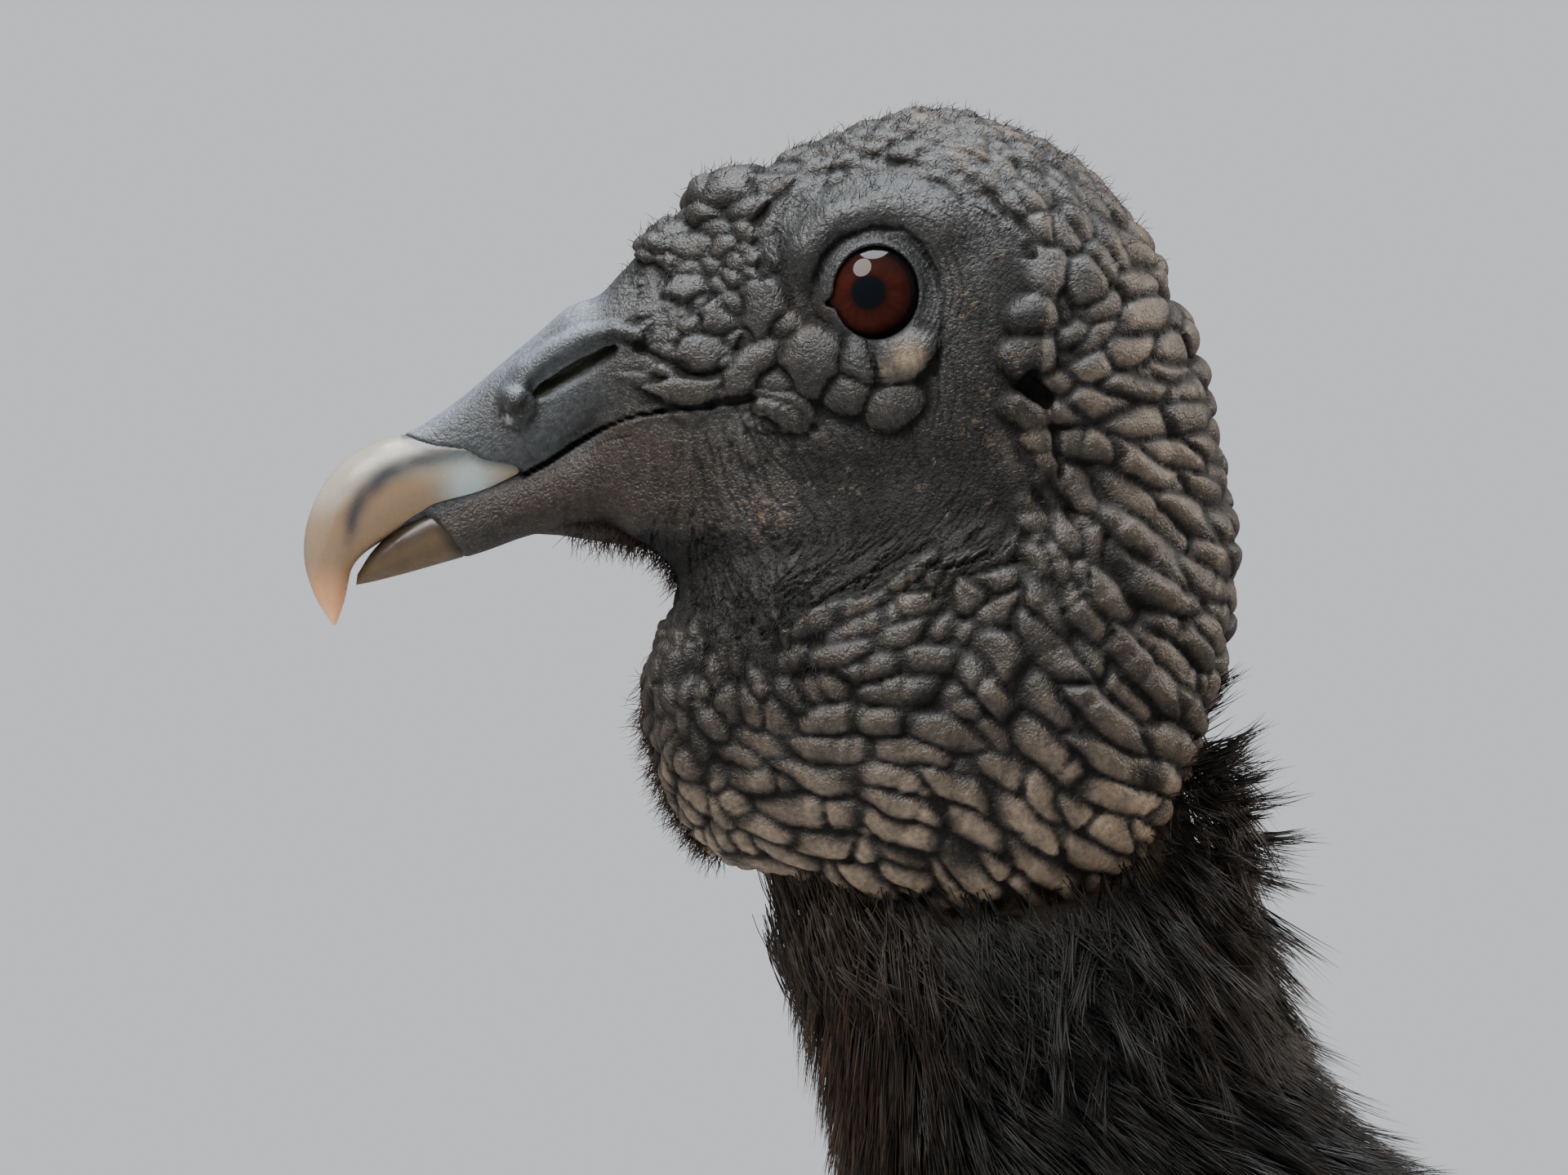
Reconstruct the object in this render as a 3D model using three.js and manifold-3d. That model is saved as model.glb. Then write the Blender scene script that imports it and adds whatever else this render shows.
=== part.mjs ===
// A black vulture, Coragyps atratus, life size: a still model that stands upright and looks ahead.
// Millimetres, +Z up, the bird faces -Y and its left side is +X. Lengths along Y are counted from
// the eye while the solids are made, and heights from the floor; the last group centres the bird.
import * as THREE from 'three';
import { mergeVertices } from 'three/addons/utils/BufferGeometryUtils.js';
import Module from 'manifold-3d';

const wasm = await Module();
wasm.setup();

// ---- driving dimensions ------------------------------------------------------------------------
const EYE_HEIGHT = 430; // centre of the eye above the floor
const GAP = 0.3; // between solids that touch
const EYE_RADIUS = 7.5;
const EYE_OUT = 12.4; // centre of each eyeball from the middle plane
const TAIL_LENGTH = 178;
const TAIL_FEATHERS = 12;
const HIP_OUT = 34; // leg from the middle plane at the foot
const FOOT_BACK = 134; // where the toes meet, behind the eye
const FOOT_JOINT_HEIGHT = 13;
const ANKLE = { back: 156, height: 93 };
const SOLE_SINK = 1.1; // how far each toe's round underside is cut flat
const COLOURS = {
  skin: 0x37383a, bare: 0x3a3836, plumage: 0x16130f, wing: 0x1b1713, cere: 0x4a5058,
  mandible: 0x3d332c, eye: 0x4a1a10, leg: 0x8f8b84, claw: 0x1c1917,
};

// ---- small helpers -----------------------------------------------------------------------------
const vec = (x, y, z) => new THREE.Vector3(x, y, z);
const lerp = THREE.MathUtils.lerp;
const degrees = THREE.MathUtils.degToRad;
const rounded = (value, power) => Math.sign(value) * Math.abs(value) ** power;

// A closed surface from shared vertices, turned so that its faces point out.
function closedGeometry(points, faces) {
  let volume = 0;
  for (const [a, b, c] of faces) volume += points[a].dot(points[b].clone().cross(points[c]));
  const order = volume < 0 ? faces.map(([a, b, c]) => [a, c, b]) : faces;
  const geometry = new THREE.BufferGeometry();
  geometry.setAttribute('position', new THREE.Float32BufferAttribute(points.flatMap(p => p.toArray()), 3));
  geometry.setIndex(order.flat());
  return geometry;
}

// Rings of equal length joined into a tube, its ends closed by flat fans.
function tube(rings) {
  const sides = rings[0].length;
  const points = rings.flat();
  const faces = [];
  for (let i = 0; i + 1 < rings.length; i++) {
    for (let k = 0; k < sides; k++) {
      const [a, b] = [i * sides + k, i * sides + (k + 1) % sides];
      faces.push([a, a + sides, b], [b, a + sides, b + sides]);
    }
  }
  for (const [ring, flip] of [[0, false], [rings.length - 1, true]]) {
    const middle = points.length;
    points.push(rings[ring].reduce((sum, p) => sum.add(p), vec(0, 0, 0)).divideScalar(sides));
    for (let k = 0; k < sides; k++) {
      const [a, b] = [ring * sides + k, ring * sides + (k + 1) % sides];
      faces.push(flip ? [middle, b, a] : [middle, a, b]);
    }
  }
  return closedGeometry(points, faces);
}

// One oval ring. side, up and down are vectors as long as the oval reaches that way.
function oval(centre, side, up, down, sides, square = 2) {
  return Array.from({ length: sides }, (_, k) => {
    const angle = 2 * Math.PI * k / sides;
    const [c, s] = [rounded(Math.cos(angle), 2 / square), rounded(Math.sin(angle), 2 / square)];
    return centre.clone().addScaledVector(side, c).addScaledVector(s > 0 ? up : down, Math.abs(s));
  });
}

const throughPoints = points => new THREE.CatmullRomCurve3(points, false, 'catmullrom', 0.5);

// A loft of ovals square to a smooth line through stations {at, wide, up, down}.
function loft(stations, steps, sides, across = vec(1, 0, 0)) {
  const line = throughPoints(stations.map(s => vec(...s.at)));
  const sizes = throughPoints(stations.map(s => vec(s.wide, s.up, s.down ?? s.up)));
  return tube(Array.from({ length: steps + 1 }, (_, i) => {
    const tangent = line.getTangent(i / steps);
    const side = across.clone().addScaledVector(tangent, -across.dot(tangent)).normalize();
    const up = side.clone().cross(tangent);
    const [wide, above, below] = sizes.getPoint(i / steps).toArray();
    return oval(line.getPoint(i / steps), side.multiplyScalar(wide), up.clone().multiplyScalar(above),
      up.clone().multiplyScalar(-below), sides);
  }));
}

// A sheet of real thickness: surface(u, v) is its middle and half(u, v) half its thickness.
function slab(surface, half, across, along) {
  const points = [];
  const faces = [];
  const row = along + 1;
  const layer = (across + 1) * row;
  const step = 1e-3;
  for (const sign of [1, -1]) {
    for (let i = 0; i <= across; i++) {
      for (let j = 0; j <= along; j++) {
        const [u, v] = [i / across, j / along];
        const back = [Math.max(0, u - step), Math.max(0, v - step)];
        const du = surface(Math.min(1, u + step), v).sub(surface(back[0], v));
        const dv = surface(u, Math.min(1, v + step)).sub(surface(u, back[1]));
        points.push(surface(u, v).addScaledVector(du.cross(dv).normalize(), sign * half(u, v)));
      }
    }
  }
  const quad = (a, b, c, d) => faces.push([a, b, c], [a, c, d]);
  for (let i = 0; i < across; i++) {
    for (let j = 0; j < along; j++) {
      const a = i * row + j;
      quad(a, a + row, a + row + 1, a + 1);
      quad(layer + a, layer + a + 1, layer + a + row + 1, layer + a + row);
    }
  }
  for (let i = 0; i < across; i++) {
    const [a, b] = [i * row, i * row + along];
    quad(a, layer + a, layer + a + row, a + row);
    quad(b, b + row, layer + b + row, layer + b);
  }
  for (let j = 0; j < along; j++) {
    const [a, b] = [j, across * row + j];
    quad(a, a + 1, layer + a + 1, layer + a);
    quad(b, layer + b, layer + b + 1, b + 1);
  }
  return closedGeometry(points, faces);
}

// ---- solids and booleans -----------------------------------------------------------------------
function solidOf(geometry) {
  const bare = geometry.clone().deleteAttribute('normal').deleteAttribute('uv');
  const merged = mergeVertices(bare, 1e-4);
  return new wasm.Manifold(new wasm.Mesh({
    numProp: 3,
    vertProperties: merged.attributes.position.array,
    triVerts: new Uint32Array(merged.index.array),
  }));
}

function geometryOf(solid) {
  const mesh = solid.getMesh();
  const geometry = new THREE.BufferGeometry();
  geometry.setAttribute('position', new THREE.BufferAttribute(mesh.vertProperties, 3));
  geometry.setIndex(new THREE.BufferAttribute(mesh.triVerts, 1));
  return geometry;
}

// The largest body of a solid, without the crumbs that a cut can leave.
function main(solid) {
  return solid.decompose().reduce((best, part) => part.volume() > best.volume() ? part : best);
}

// A big block whose lower face passes through two points of the side view, GAP / 2 above them.
function blockAbove(front, back, sign = 1) {
  const size = 600;
  const block = new THREE.BoxGeometry(size, size, size);
  const angle = Math.atan2(back[1] - front[1], back[0] - front[0]);
  block.translate(0, 0, sign * (size / 2 + GAP / 2));
  block.rotateX(angle);
  block.translate(0, (front[0] + back[0]) / 2, (front[1] + back[1]) / 2);
  return solidOf(block);
}

const mirrored = geometry => geometry.clone().scale(-1, 1, 1);

const bird = new THREE.Group();

function add(name, colour, geometry, roughness = 0.7) {
  const material = new THREE.MeshStandardMaterial({ color: colour, roughness, metalness: 0 });
  const mesh = new THREE.Mesh(geometry, material);
  mesh.name = name;
  bird.add(mesh);
  return mesh;
}

// Both sides of a piece that is made on the left. A mirrored geometry has its faces turned back.
function addPair(name, colour, geometry, roughness) {
  add(`${name}_left`, colour, geometry, roughness);
  const other = mirrored(geometry);
  const index = other.index.array.slice();
  for (let i = 0; i < index.length; i += 3) [index[i + 1], index[i + 2]] = [index[i + 2], index[i + 1]];
  other.setIndex(new THREE.BufferAttribute(index, 1));
  add(`${name}_right`, colour, other, roughness);
}

// ---- head and bare neck ------------------------------------------------------------------------
// The outline in the middle plane, back and up from the eye: forehead, crown, nape, the pouch of
// folded skin under the head, throat and jaw.
const HEAD_CENTRE = [8, -22];
const HEAD_OUTLINE = [
  [-33, 1.6], [-27, 7.6], [-19, 13.8], [-9, 18.4], [4, 23], [15, 21.6], [25, 16.2], [33, 7.5],
  [38.4, -4], [42, -16], [44, -29], [43.8, -40], [41.2, -50], [38, -59.5], [33.5, -69], [26, -75],
  [14, -77.2], [2, -75.4], [-9, -72.4], [-18, -68.2], [-24, -62], [-27, -52], [-26.6, -44],
  [-24.4, -36.5], [-27, -31.6], [-31.6, -28.6], [-34.2, -23.5], [-34.6, -14], [-34.2, -5],
];
// Half-widths at landmarks of the side view: [back, up, half-width, reach].
const HEAD_WIDTHS = [
  [-35, -12, 8.8, 6], [-30, 3, 10, 7], [-22, -8, 13.4, 8], [-28, -24, 9.6, 7], [-14, -22, 14.4, 9],
  [-9, 9, 17.2, 9], [0, -2, 18.6, 9], [4, 12, 20.8, 9], [18, -8, 22, 10], [30, 4, 23.4, 11],
  [4, -26, 17.6, 9], [22, -26, 21.5, 10], [36, -24, 23.5, 11], [-22, -40, 15.5, 8], [-6, -44, 22.5, 10],
  [12, -44, 26, 10], [32, -46, 26.5, 11], [-20, -58, 18.5, 9], [0, -62, 27.5, 11], [26, -64, 27.5, 11],
];

function headHalfWidth(back, up) {
  let [sum, weight] = [0, 0];
  for (const [y, z, half, reach] of HEAD_WIDTHS) {
    const near = Math.exp(-((back - y) ** 2 + (up - z) ** 2) / (2 * reach ** 2));
    sum += near * half;
    weight += near;
  }
  return sum / weight;
}

// How square the section is towards a point of the outline: round at the crown, fuller at the
// pouch and blunt in front, where the bill leaves the face.
function fullness(back, up) {
  const pouch = THREE.MathUtils.smoothstep(-up, 20, 66);
  const front = THREE.MathUtils.smoothstep(-back, 16, 34) * THREE.MathUtils.smoothstep(-up, -6, 8);
  return Math.max(lerp(2.45, 3.7, pouch), lerp(2.45, 5.5, front));
}

function headGeometry(extra = 0) {
  const [round, rings] = [43, 6];
  const middle = vec(0, HEAD_CENTRE[0], HEAD_CENTRE[1]);
  const corners = HEAD_OUTLINE.map(([y, z]) => vec(0, y, z));
  const outline = new THREE.CatmullRomCurve3(corners, true, 'catmullrom', 0.5);
  const points = [];
  const faces = [];
  const poles = [];
  for (const sign of [1, -1]) {
    poles.push(points.length);
    points.push(vec(sign * (headHalfWidth(...HEAD_CENTRE) + extra), ...HEAD_CENTRE));
  }
  const levels = [];
  for (let level = 1; level < 2 * rings; level++) levels.push(Math.PI * level / (2 * rings));
  const first = points.length;
  for (const angle of levels) {
    for (let k = 0; k < round; k++) {
      const edge = outline.getPoint(k / round);
      const away = edge.clone().sub(middle);
      away.setLength(away.length() + extra);
      const power = 2 / fullness(edge.y, edge.z);
      const spot = middle.clone().addScaledVector(away, Math.sin(angle) ** power);
      spot.x = rounded(Math.cos(angle), power) * (headHalfWidth(spot.y, spot.z) + extra);
      points.push(spot);
    }
  }
  for (let k = 0; k < round; k++) {
    const next = (k + 1) % round;
    faces.push([poles[0], first + next, first + k]);
    for (let level = 0; level + 1 < levels.length; level++) {
      const [a, b] = [first + level * round + k, first + level * round + next];
      faces.push([a, b, a + round], [b, b + round, a + round]);
    }
    const last = first + (levels.length - 1) * round;
    faces.push([poles[1], last + k, last + next]);
  }
  return closedGeometry(points, faces).translate(0, 0, EYE_HEIGHT);
}

const wholeHead = solidOf(headGeometry());
const headClearance = solidOf(headGeometry(GAP));

const eyeball = new THREE.SphereGeometry(EYE_RADIUS, 12, 9);
let skull = wholeHead;
for (const side of [1, -1]) {
  const socket = new THREE.SphereGeometry(EYE_RADIUS + GAP, 12, 9);
  socket.translate(side * EYE_OUT, 0, EYE_HEIGHT);
  skull = skull.subtract(solidOf(socket));
}
// The head ends at a thin cut from the corner of the jaw to the nape, and the bare neck begins.
const [jawCorner, nape] = [[-24, EYE_HEIGHT - 34], [42, EYE_HEIGHT - 22]];
add('head', COLOURS.skin, geometryOf(main(skull.intersect(blockAbove(jawCorner, nape)))));
add('neck_bare', COLOURS.bare, geometryOf(main(skull.intersect(blockAbove(jawCorner, nape, -1)))));
for (const [name, side] of [['eye_left', 1], ['eye_right', -1]]) {
  add(name, COLOURS.eye, eyeball, 0.1).position.set(side * EYE_OUT, 0, EYE_HEIGHT);
}

// ---- bill --------------------------------------------------------------------------------------
// Each half lies between two edges of the side view, back and up from the eye: [upper, lower, half-width].
const NOSTRIL = { reach: 4.6, half: 1.15, rise: degrees(28), back: -37.6, up: -10.4 };
const UPPER_BILL = [
  [[-27, 1.4], [-27, -14], 8.6], [[-36, -0.8], [-36, -18], 7.7], [[-41, -4.6], [-40, -21], 6.9],
  [[-46, -8.8], [-44.6, -23.6], 6], [[-51, -13], [-48.6, -25.4], 5.2], [[-56.4, -16.6], [-53, -26.4], 4.9],
  [[-61, -18], [-57, -28.2], 5], [[-65, -20.3], [-60.4, -30.2], 4.9], [[-68, -24], [-62.8, -31.9], 4.5],
  [[-69.7, -28.4], [-64.1, -33.6], 3.8], [[-69.9, -32.8], [-64.6, -35.6], 2.9],
  [[-68.6, -37], [-65.1, -37.8], 1.8], [[-66.4, -40.6], [-66, -40.4], 0.3],
];
const LOWER_BILL = [
  [[-26, -15.4], [-26, -26.6], 7.6], [[-34, -18], [-33, -28], 6.9], [[-39, -21.2], [-38, -28.4], 6],
  [[-44, -24], [-43, -29.6], 5], [[-49, -26.2], [-48, -31.4], 4.4], [[-54, -27.6], [-53.4, -33], 4],
  [[-58, -29.6], [-58, -34.3], 3.6], [[-61.4, -31.9], [-61.6, -35.2], 2.8],
  [[-63.4, -34.4], [-63.6, -35.6], 1.2],
];

function billGeometry(stations, steps, square) {
  const upper = throughPoints(stations.map(([top]) => vec(0, ...top)));
  const lower = throughPoints(stations.map(([, bottom]) => vec(0, ...bottom)));
  const widths = throughPoints(stations.map(([, , wide]) => vec(wide, 0, 0)));
  return tube(Array.from({ length: steps + 1 }, (_, i) => {
    const [top, bottom] = [upper.getPoint(i / steps), lower.getPoint(i / steps)];
    const up = top.clone().sub(bottom);
    const centre = bottom.clone().addScaledVector(up, 0.42);
    const side = vec(Math.max(0.25, widths.getPoint(i / steps).x), 0, 0);
    return oval(centre, side, up.clone().multiplyScalar(0.58), up.clone().multiplyScalar(-0.42), 12, square);
  })).translate(0, 0, EYE_HEIGHT);
}

// The nostrils open through the bill from side to side, as slots that rise backwards.
function nostrilGeometry() {
  const { reach, half, rise, back, up } = NOSTRIL;
  const slot = new THREE.Shape();
  slot.absarc(reach, 0, half, -Math.PI / 2, Math.PI / 2);
  slot.absarc(-reach, 0, half, Math.PI / 2, 1.5 * Math.PI);
  const across = 40;
  const hole = new THREE.ExtrudeGeometry(slot, { depth: across, bevelEnabled: false, curveSegments: 4 });
  hole.translate(0, 0, -across / 2);
  const along = vec(0, Math.cos(rise), Math.sin(rise));
  const turned = new THREE.Matrix4().makeBasis(along, vec(1, 0, 0).cross(along), vec(1, 0, 0));
  return hole.applyMatrix4(turned).translate(0, back, EYE_HEIGHT + up);
}

const upperBill = solidOf(billGeometry(UPPER_BILL, 18, 2.3)).subtract(headClearance);
add('bill_upper', COLOURS.cere, geometryOf(main(upperBill.subtract(solidOf(nostrilGeometry())))), 0.4);
const lowerClearance = solidOf(billGeometry(
  UPPER_BILL.map(([top, bottom, wide]) => [top, [bottom[0], bottom[1] - GAP], wide + GAP]), 18, 2.3));
const lowerBill = solidOf(billGeometry(LOWER_BILL, 11, 2.3)).subtract(headClearance);
add('bill_lower', COLOURS.mandible, geometryOf(main(lowerBill.subtract(lowerClearance))), 0.5);

// ---- neck and trunk ----------------------------------------------------------------------------
// Stations down the neck and back along the trunk, to the tips of the plumage.
const BODY = [
  { at: [0, 17, 380], wide: 18, up: 23.5, down: 18 }, { at: [0, 17.5, 366], wide: 20, up: 29, down: 28 },
  { at: [0, 18.5, 350], wide: 23, up: 28.5, down: 30 }, { at: [0, 28, 322], wide: 29, up: 29, down: 33.5 },
  { at: [0, 43, 296], wide: 39, up: 37.5, down: 44 }, { at: [0, 62, 270], wide: 53, up: 46, down: 58 },
  { at: [0, 86, 247], wide: 61, up: 53, down: 66 }, { at: [0, 114, 227], wide: 62, up: 52, down: 63 },
  { at: [0, 142, 207], wide: 57, up: 47, down: 54 }, { at: [0, 168, 188], wide: 49, up: 40, down: 43 },
  { at: [0, 192, 171], wide: 37, up: 30, down: 33 }, { at: [0, 214, 155], wide: 27, up: 19, down: 25 },
  { at: [0, 238, 138], wide: 15, up: 6, down: 13 },
];

// Each folded wing is two curved sheets round the trunk, of coverts and secondaries and of the
// primaries that come out under them: [back, height, side radius, top radius, the angles from the
// back's middle to the sheet's two edges, half the thickness].
const WING = [
  [30, 282, 42, 36, 58, 100, 3], [48, 270, 57, 52, 32, 117, 4.6], [78, 250, 66, 62, 10, 122, 4.6],
  [120, 222, 69, 62, 3, 123, 4], [165, 192, 64, 54, 2.5, 122, 3.2], [210, 163, 53, 44, 2.5, 119, 2.4],
  [245, 140, 42.5, 36, 3, 112, 1.9], [272, 122, 35, 30.5, 14, 96, 1.6], [288, 111, 31, 27.5, 38, 76, 1.1],
];
const PRIMARIES = [
  [200, 169.5, 51, 42, 70, 106, 1.1], [240, 143.3, 39.6, 33, 58, 106, 1.2],
  [275, 120, 30.4, 26, 40, 103, 1.2], [305, 99.6, 23.6, 21, 36, 98, 1.1],
  [332, 81.2, 17, 15.5, 44, 92, 0.9], [347, 71, 13, 12, 58, 84, 0.6],
];

// A sheet of the wing, or with extra its room in what it lies on, larger by that much all round.
function wingGeometry(stations, along, across, extra = 0) {
  const [front, back] = [stations[0], stations[stations.length - 1]];
  const middle = [(front[0] + back[0]) / 2, (front[1] + back[1]) / 2];
  const stretch = 1 + extra / Math.hypot(back[0] - middle[0], back[1] - middle[1]);
  const stretched = (value, axis) => middle[axis] + (value - middle[axis]) * stretch;
  const line = throughPoints(stations.map(([y, z]) => vec(0, stretched(y, 0), stretched(z, 1))));
  const radii = throughPoints(stations.map(([, , side, top]) => vec(side, top, 0)));
  const edges = throughPoints(stations.map(([, , , , from, to, half]) => vec(from, to, half)));
  const surface = (u, v) => {
    const up = vec(1, 0, 0).cross(line.getTangent(u));
    const [side, top] = radii.getPoint(u).toArray();
    const reach = edges.getPoint(u);
    const turn = THREE.MathUtils.radToDeg(extra / Math.min(side, top));
    const angle = degrees(lerp(Math.max(reach.x, 2) - turn, reach.y + turn, v));
    const spot = line.getPoint(u).addScaledVector(up, top * Math.cos(angle));
    spot.x = side * Math.sin(angle) + 0.6;
    return spot;
  };
  return slab(surface, u => edges.getPoint(u).z + extra, along, across);
}

const wingRoom = solidOf(wingGeometry(WING, 18, 6, GAP)).add(solidOf(wingGeometry(PRIMARIES, 8, 3, GAP)));
const wingsRoom = wingRoom.add(wingRoom.mirror([1, 0, 0]));
addPair('wing', COLOURS.wing, wingGeometry(WING, 18, 6));
addPair('primaries', COLOURS.wing, wingGeometry(PRIMARIES, 8, 3));

const body = solidOf(loft(BODY, 18, 16)).subtract(headClearance).subtract(wingsRoom);

// ---- tail --------------------------------------------------------------------------------------
// A short square fan, arched across, with a round tip to each feather.
const TAIL = { back: 190, height: 167, slope: degrees(-36.5), base: 17, tip: 43, arch: 7 };

// The tail, or with extra its room in the rump.
function tailGeometry(extra = 0) {
  const surface = (u, v) => {
    const side = 2 * v - 1;
    const scallop = 3 * Math.abs(Math.sin(v * TAIL_FEATHERS * Math.PI)) - 3 * side * side;
    const along = u * (TAIL_LENGTH + scallop * u ** 6) - extra;
    const out = side * (lerp(TAIL.base, TAIL.tip, u) + extra);
    const spot = vec(out, TAIL.back, TAIL.height - TAIL.arch * side * side);
    return spot.add(vec(0, along * Math.cos(TAIL.slope), along * Math.sin(TAIL.slope)));
  };
  return slab(surface, u => lerp(3, 1, u) + extra, 4, 24);
}
add('tail', COLOURS.wing, geometryOf(main(solidOf(tailGeometry(0)).subtract(wingsRoom))));
const trunkAndNeck = body.subtract(solidOf(tailGeometry(GAP)));

// ---- legs --------------------------------------------------------------------------------------
const THIGH = [
  { at: [31, 104, 226], wide: 14, up: 18 }, { at: [33, 108, 206], wide: 25, up: 33 },
  { at: [34.5, 117, 176], wide: 26, up: 33 }, { at: [35, 130, 146], wide: 20, up: 23 },
  { at: [35, 144, 119], wide: 12.5, up: 13.5 }, { at: [HIP_OUT, 154, 101], wide: 7.6, up: 8.2 },
  { at: [HIP_OUT, 156.5, 95], wide: 5.8, up: 6.4 },
];
const SHANK = [
  { at: [HIP_OUT, ANKLE.back + 1, ANKLE.height + 7], wide: 4.6, up: 5 },
  { at: [HIP_OUT, ANKLE.back + 0.5, ANKLE.height], wide: 6.2, up: 6.8 },
  { at: [HIP_OUT, 153.5, 80], wide: 4.9, up: 5.3 }, { at: [HIP_OUT, 147, 55], wide: 4.4, up: 4.8 },
  { at: [HIP_OUT, 140, 32], wide: 4.9, up: 4.9 }, { at: [HIP_OUT, FOOT_BACK + 2, 17], wide: 6.6, up: 6 },
  { at: [HIP_OUT, FOOT_BACK, 7], wide: 5.6, up: 5.4 },
];
const thighSolid = solidOf(loft(THIGH, 8, 10));
const shankSolid = solidOf(loft(SHANK, 10, 8));
const roomyShank = SHANK.map(s => ({ ...s, wide: s.wide + GAP, up: s.up + GAP }));
const shankRoom = solidOf(loft(roomyShank, 10, 8));
const roomyBody = BODY.map(s => ({ ...s, wide: s.wide + GAP, up: s.up + GAP, down: s.down + GAP }));
const trunkRoom = solidOf(loft(roomyBody, 18, 16));
const thigh = main(thighSolid.subtract(trunkRoom).subtract(wingRoom).subtract(shankRoom));
addPair('thigh', COLOURS.plumage, geometryOf(thigh));

// The trunk ends at the root of the feathered neck, at a thin cut through the shoulders.
const [neckFront, neckBack] = [[0, 268], [86, 322]];
const aboveShoulders = main(trunkAndNeck.intersect(blockAbove(neckFront, neckBack)));
const belowShoulders = main(trunkAndNeck.intersect(blockAbove(neckFront, neckBack, -1)));
add('neck_feathered', COLOURS.plumage, geometryOf(aboveShoulders));
add('trunk', COLOURS.plumage, geometryOf(belowShoulders));

// ---- feet --------------------------------------------------------------------------------------
// Three toes forward and a short one behind: the turn from straight ahead, the length, the radius
// at its root, the claw's length and the height of the toe's root.
const TOES = {
  middle: { turn: 2, length: 60, radius: 4.7, claw: 15, knuckles: 3 },
  inner: { turn: -30, length: 40, radius: 4.6, claw: 14, knuckles: 2 },
  outer: { turn: 31, length: 44, radius: 4.3, claw: 12, knuckles: 3 },
  hind: { turn: 186, length: 15, radius: 3.8, claw: 11, knuckles: 1 },
};
const floorBlock = solidOf(new THREE.BoxGeometry(600, 900, 60).translate(0, 100, 30));

// A toe lies on its side of the foot with round pads under its joints.
const TOE_TAPER = 0.66;
const CLAW = { tipRadius: 0.28, tipHeight: 0.5, arch: 0.9, rootSink: 0.6 };
function toeStations({ turn, length, radius, knuckles }) {
  const ahead = vec(Math.sin(degrees(turn)), -Math.cos(degrees(turn)), 0);
  const count = 4 * knuckles + 1;
  return Array.from({ length: count + 1 }, (_, i) => {
    const t = i / count;
    const swell = 1 + 0.13 * Math.cos(2 * Math.PI * t * knuckles);
    const thick = lerp(radius, radius * TOE_TAPER, t) * swell;
    const rise = (FOOT_JOINT_HEIGHT - radius) * Math.max(0, 1 - 4 * t) ** 2 * 0.7;
    const at = ahead.clone().multiplyScalar(t * length);
    return { at: [at.x, at.y, thick - SOLE_SINK + rise], wide: thick, up: thick };
  });
}

// A claw carries on from its toe, curving down to a point just over the floor.
function clawGeometry({ turn, radius, claw }) {
  const ahead = vec(Math.sin(degrees(turn)), -Math.cos(degrees(turn)), 0);
  const steps = 5;
  const stations = Array.from({ length: steps + 1 }, (_, i) => {
    const t = i / steps;
    const thick = Math.max(CLAW.tipRadius, radius * 0.5 * (1 - t ** 1.3));
    const root = radius * TOE_TAPER;
    const fall = (root - CLAW.tipHeight) * t ** 1.6;
    const lift = root + CLAW.arch * Math.sin(Math.PI * t) - fall - CLAW.rootSink * (1 - t);
    return { at: [ahead.x * claw * t, ahead.y * claw * t, lift], wide: thick * 0.8, up: thick };
  });
  return loft(stations, 5, 6, vec(ahead.y, -ahead.x, 0));
}

const footTop = [-10, 10].map(step => [FOOT_BACK + step, FOOT_JOINT_HEIGHT + 6]);
const shankFloor = blockAbove(...footTop);
const ankleCut = blockAbove(...footTop, -1);
addPair('shank', COLOURS.leg, geometryOf(main(shankSolid.intersect(shankFloor))));

let foot = shankSolid.intersect(ankleCut);
const knuckleBall = new THREE.SphereGeometry(7, 10, 7).scale(1, 1, 0.9);
foot = foot.add(solidOf(knuckleBall.translate(HIP_OUT, FOOT_BACK, FOOT_JOINT_HEIGHT - 5.2)));
const claws = [];
for (const [name, toe] of Object.entries(TOES)) {
  const ahead = vec(Math.sin(degrees(toe.turn)), -Math.cos(degrees(toe.turn)), 0);
  const toeGeometry = loft(toeStations(toe), 3 * toe.knuckles + 1, 7, vec(ahead.y, -ahead.x, 0));
  foot = foot.add(solidOf(toeGeometry.translate(HIP_OUT, FOOT_BACK, 0)));
  const reach = toe.length + 2 * GAP;
  const place = [HIP_OUT + ahead.x * reach, FOOT_BACK + ahead.y * reach, 0];
  claws.push([name, clawGeometry(toe).translate(...place)]);
}
addPair('foot', COLOURS.leg, geometryOf(main(foot.intersect(floorBlock))));
for (const [name, geometry] of claws) addPair(`claw_${name}`, COLOURS.claw, geometry, 0.4);

// ---- the whole bird, centred over its own footprint ---------------------------------------------
const span = new THREE.Box3().setFromObject(bird);
bird.position.set(0, -(span.min.y + span.max.y) / 2, 0);
const model = new THREE.Group();
model.add(bird);

export default model;
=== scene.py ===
"""A black vulture, life size and still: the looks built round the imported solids.
Metres in the scene. The head is worked out in millimetres from the centre of the eye: x to the
bird's left, y backwards, z up. Heights and places on the body come from the frame's nodes."""
import math

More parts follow.
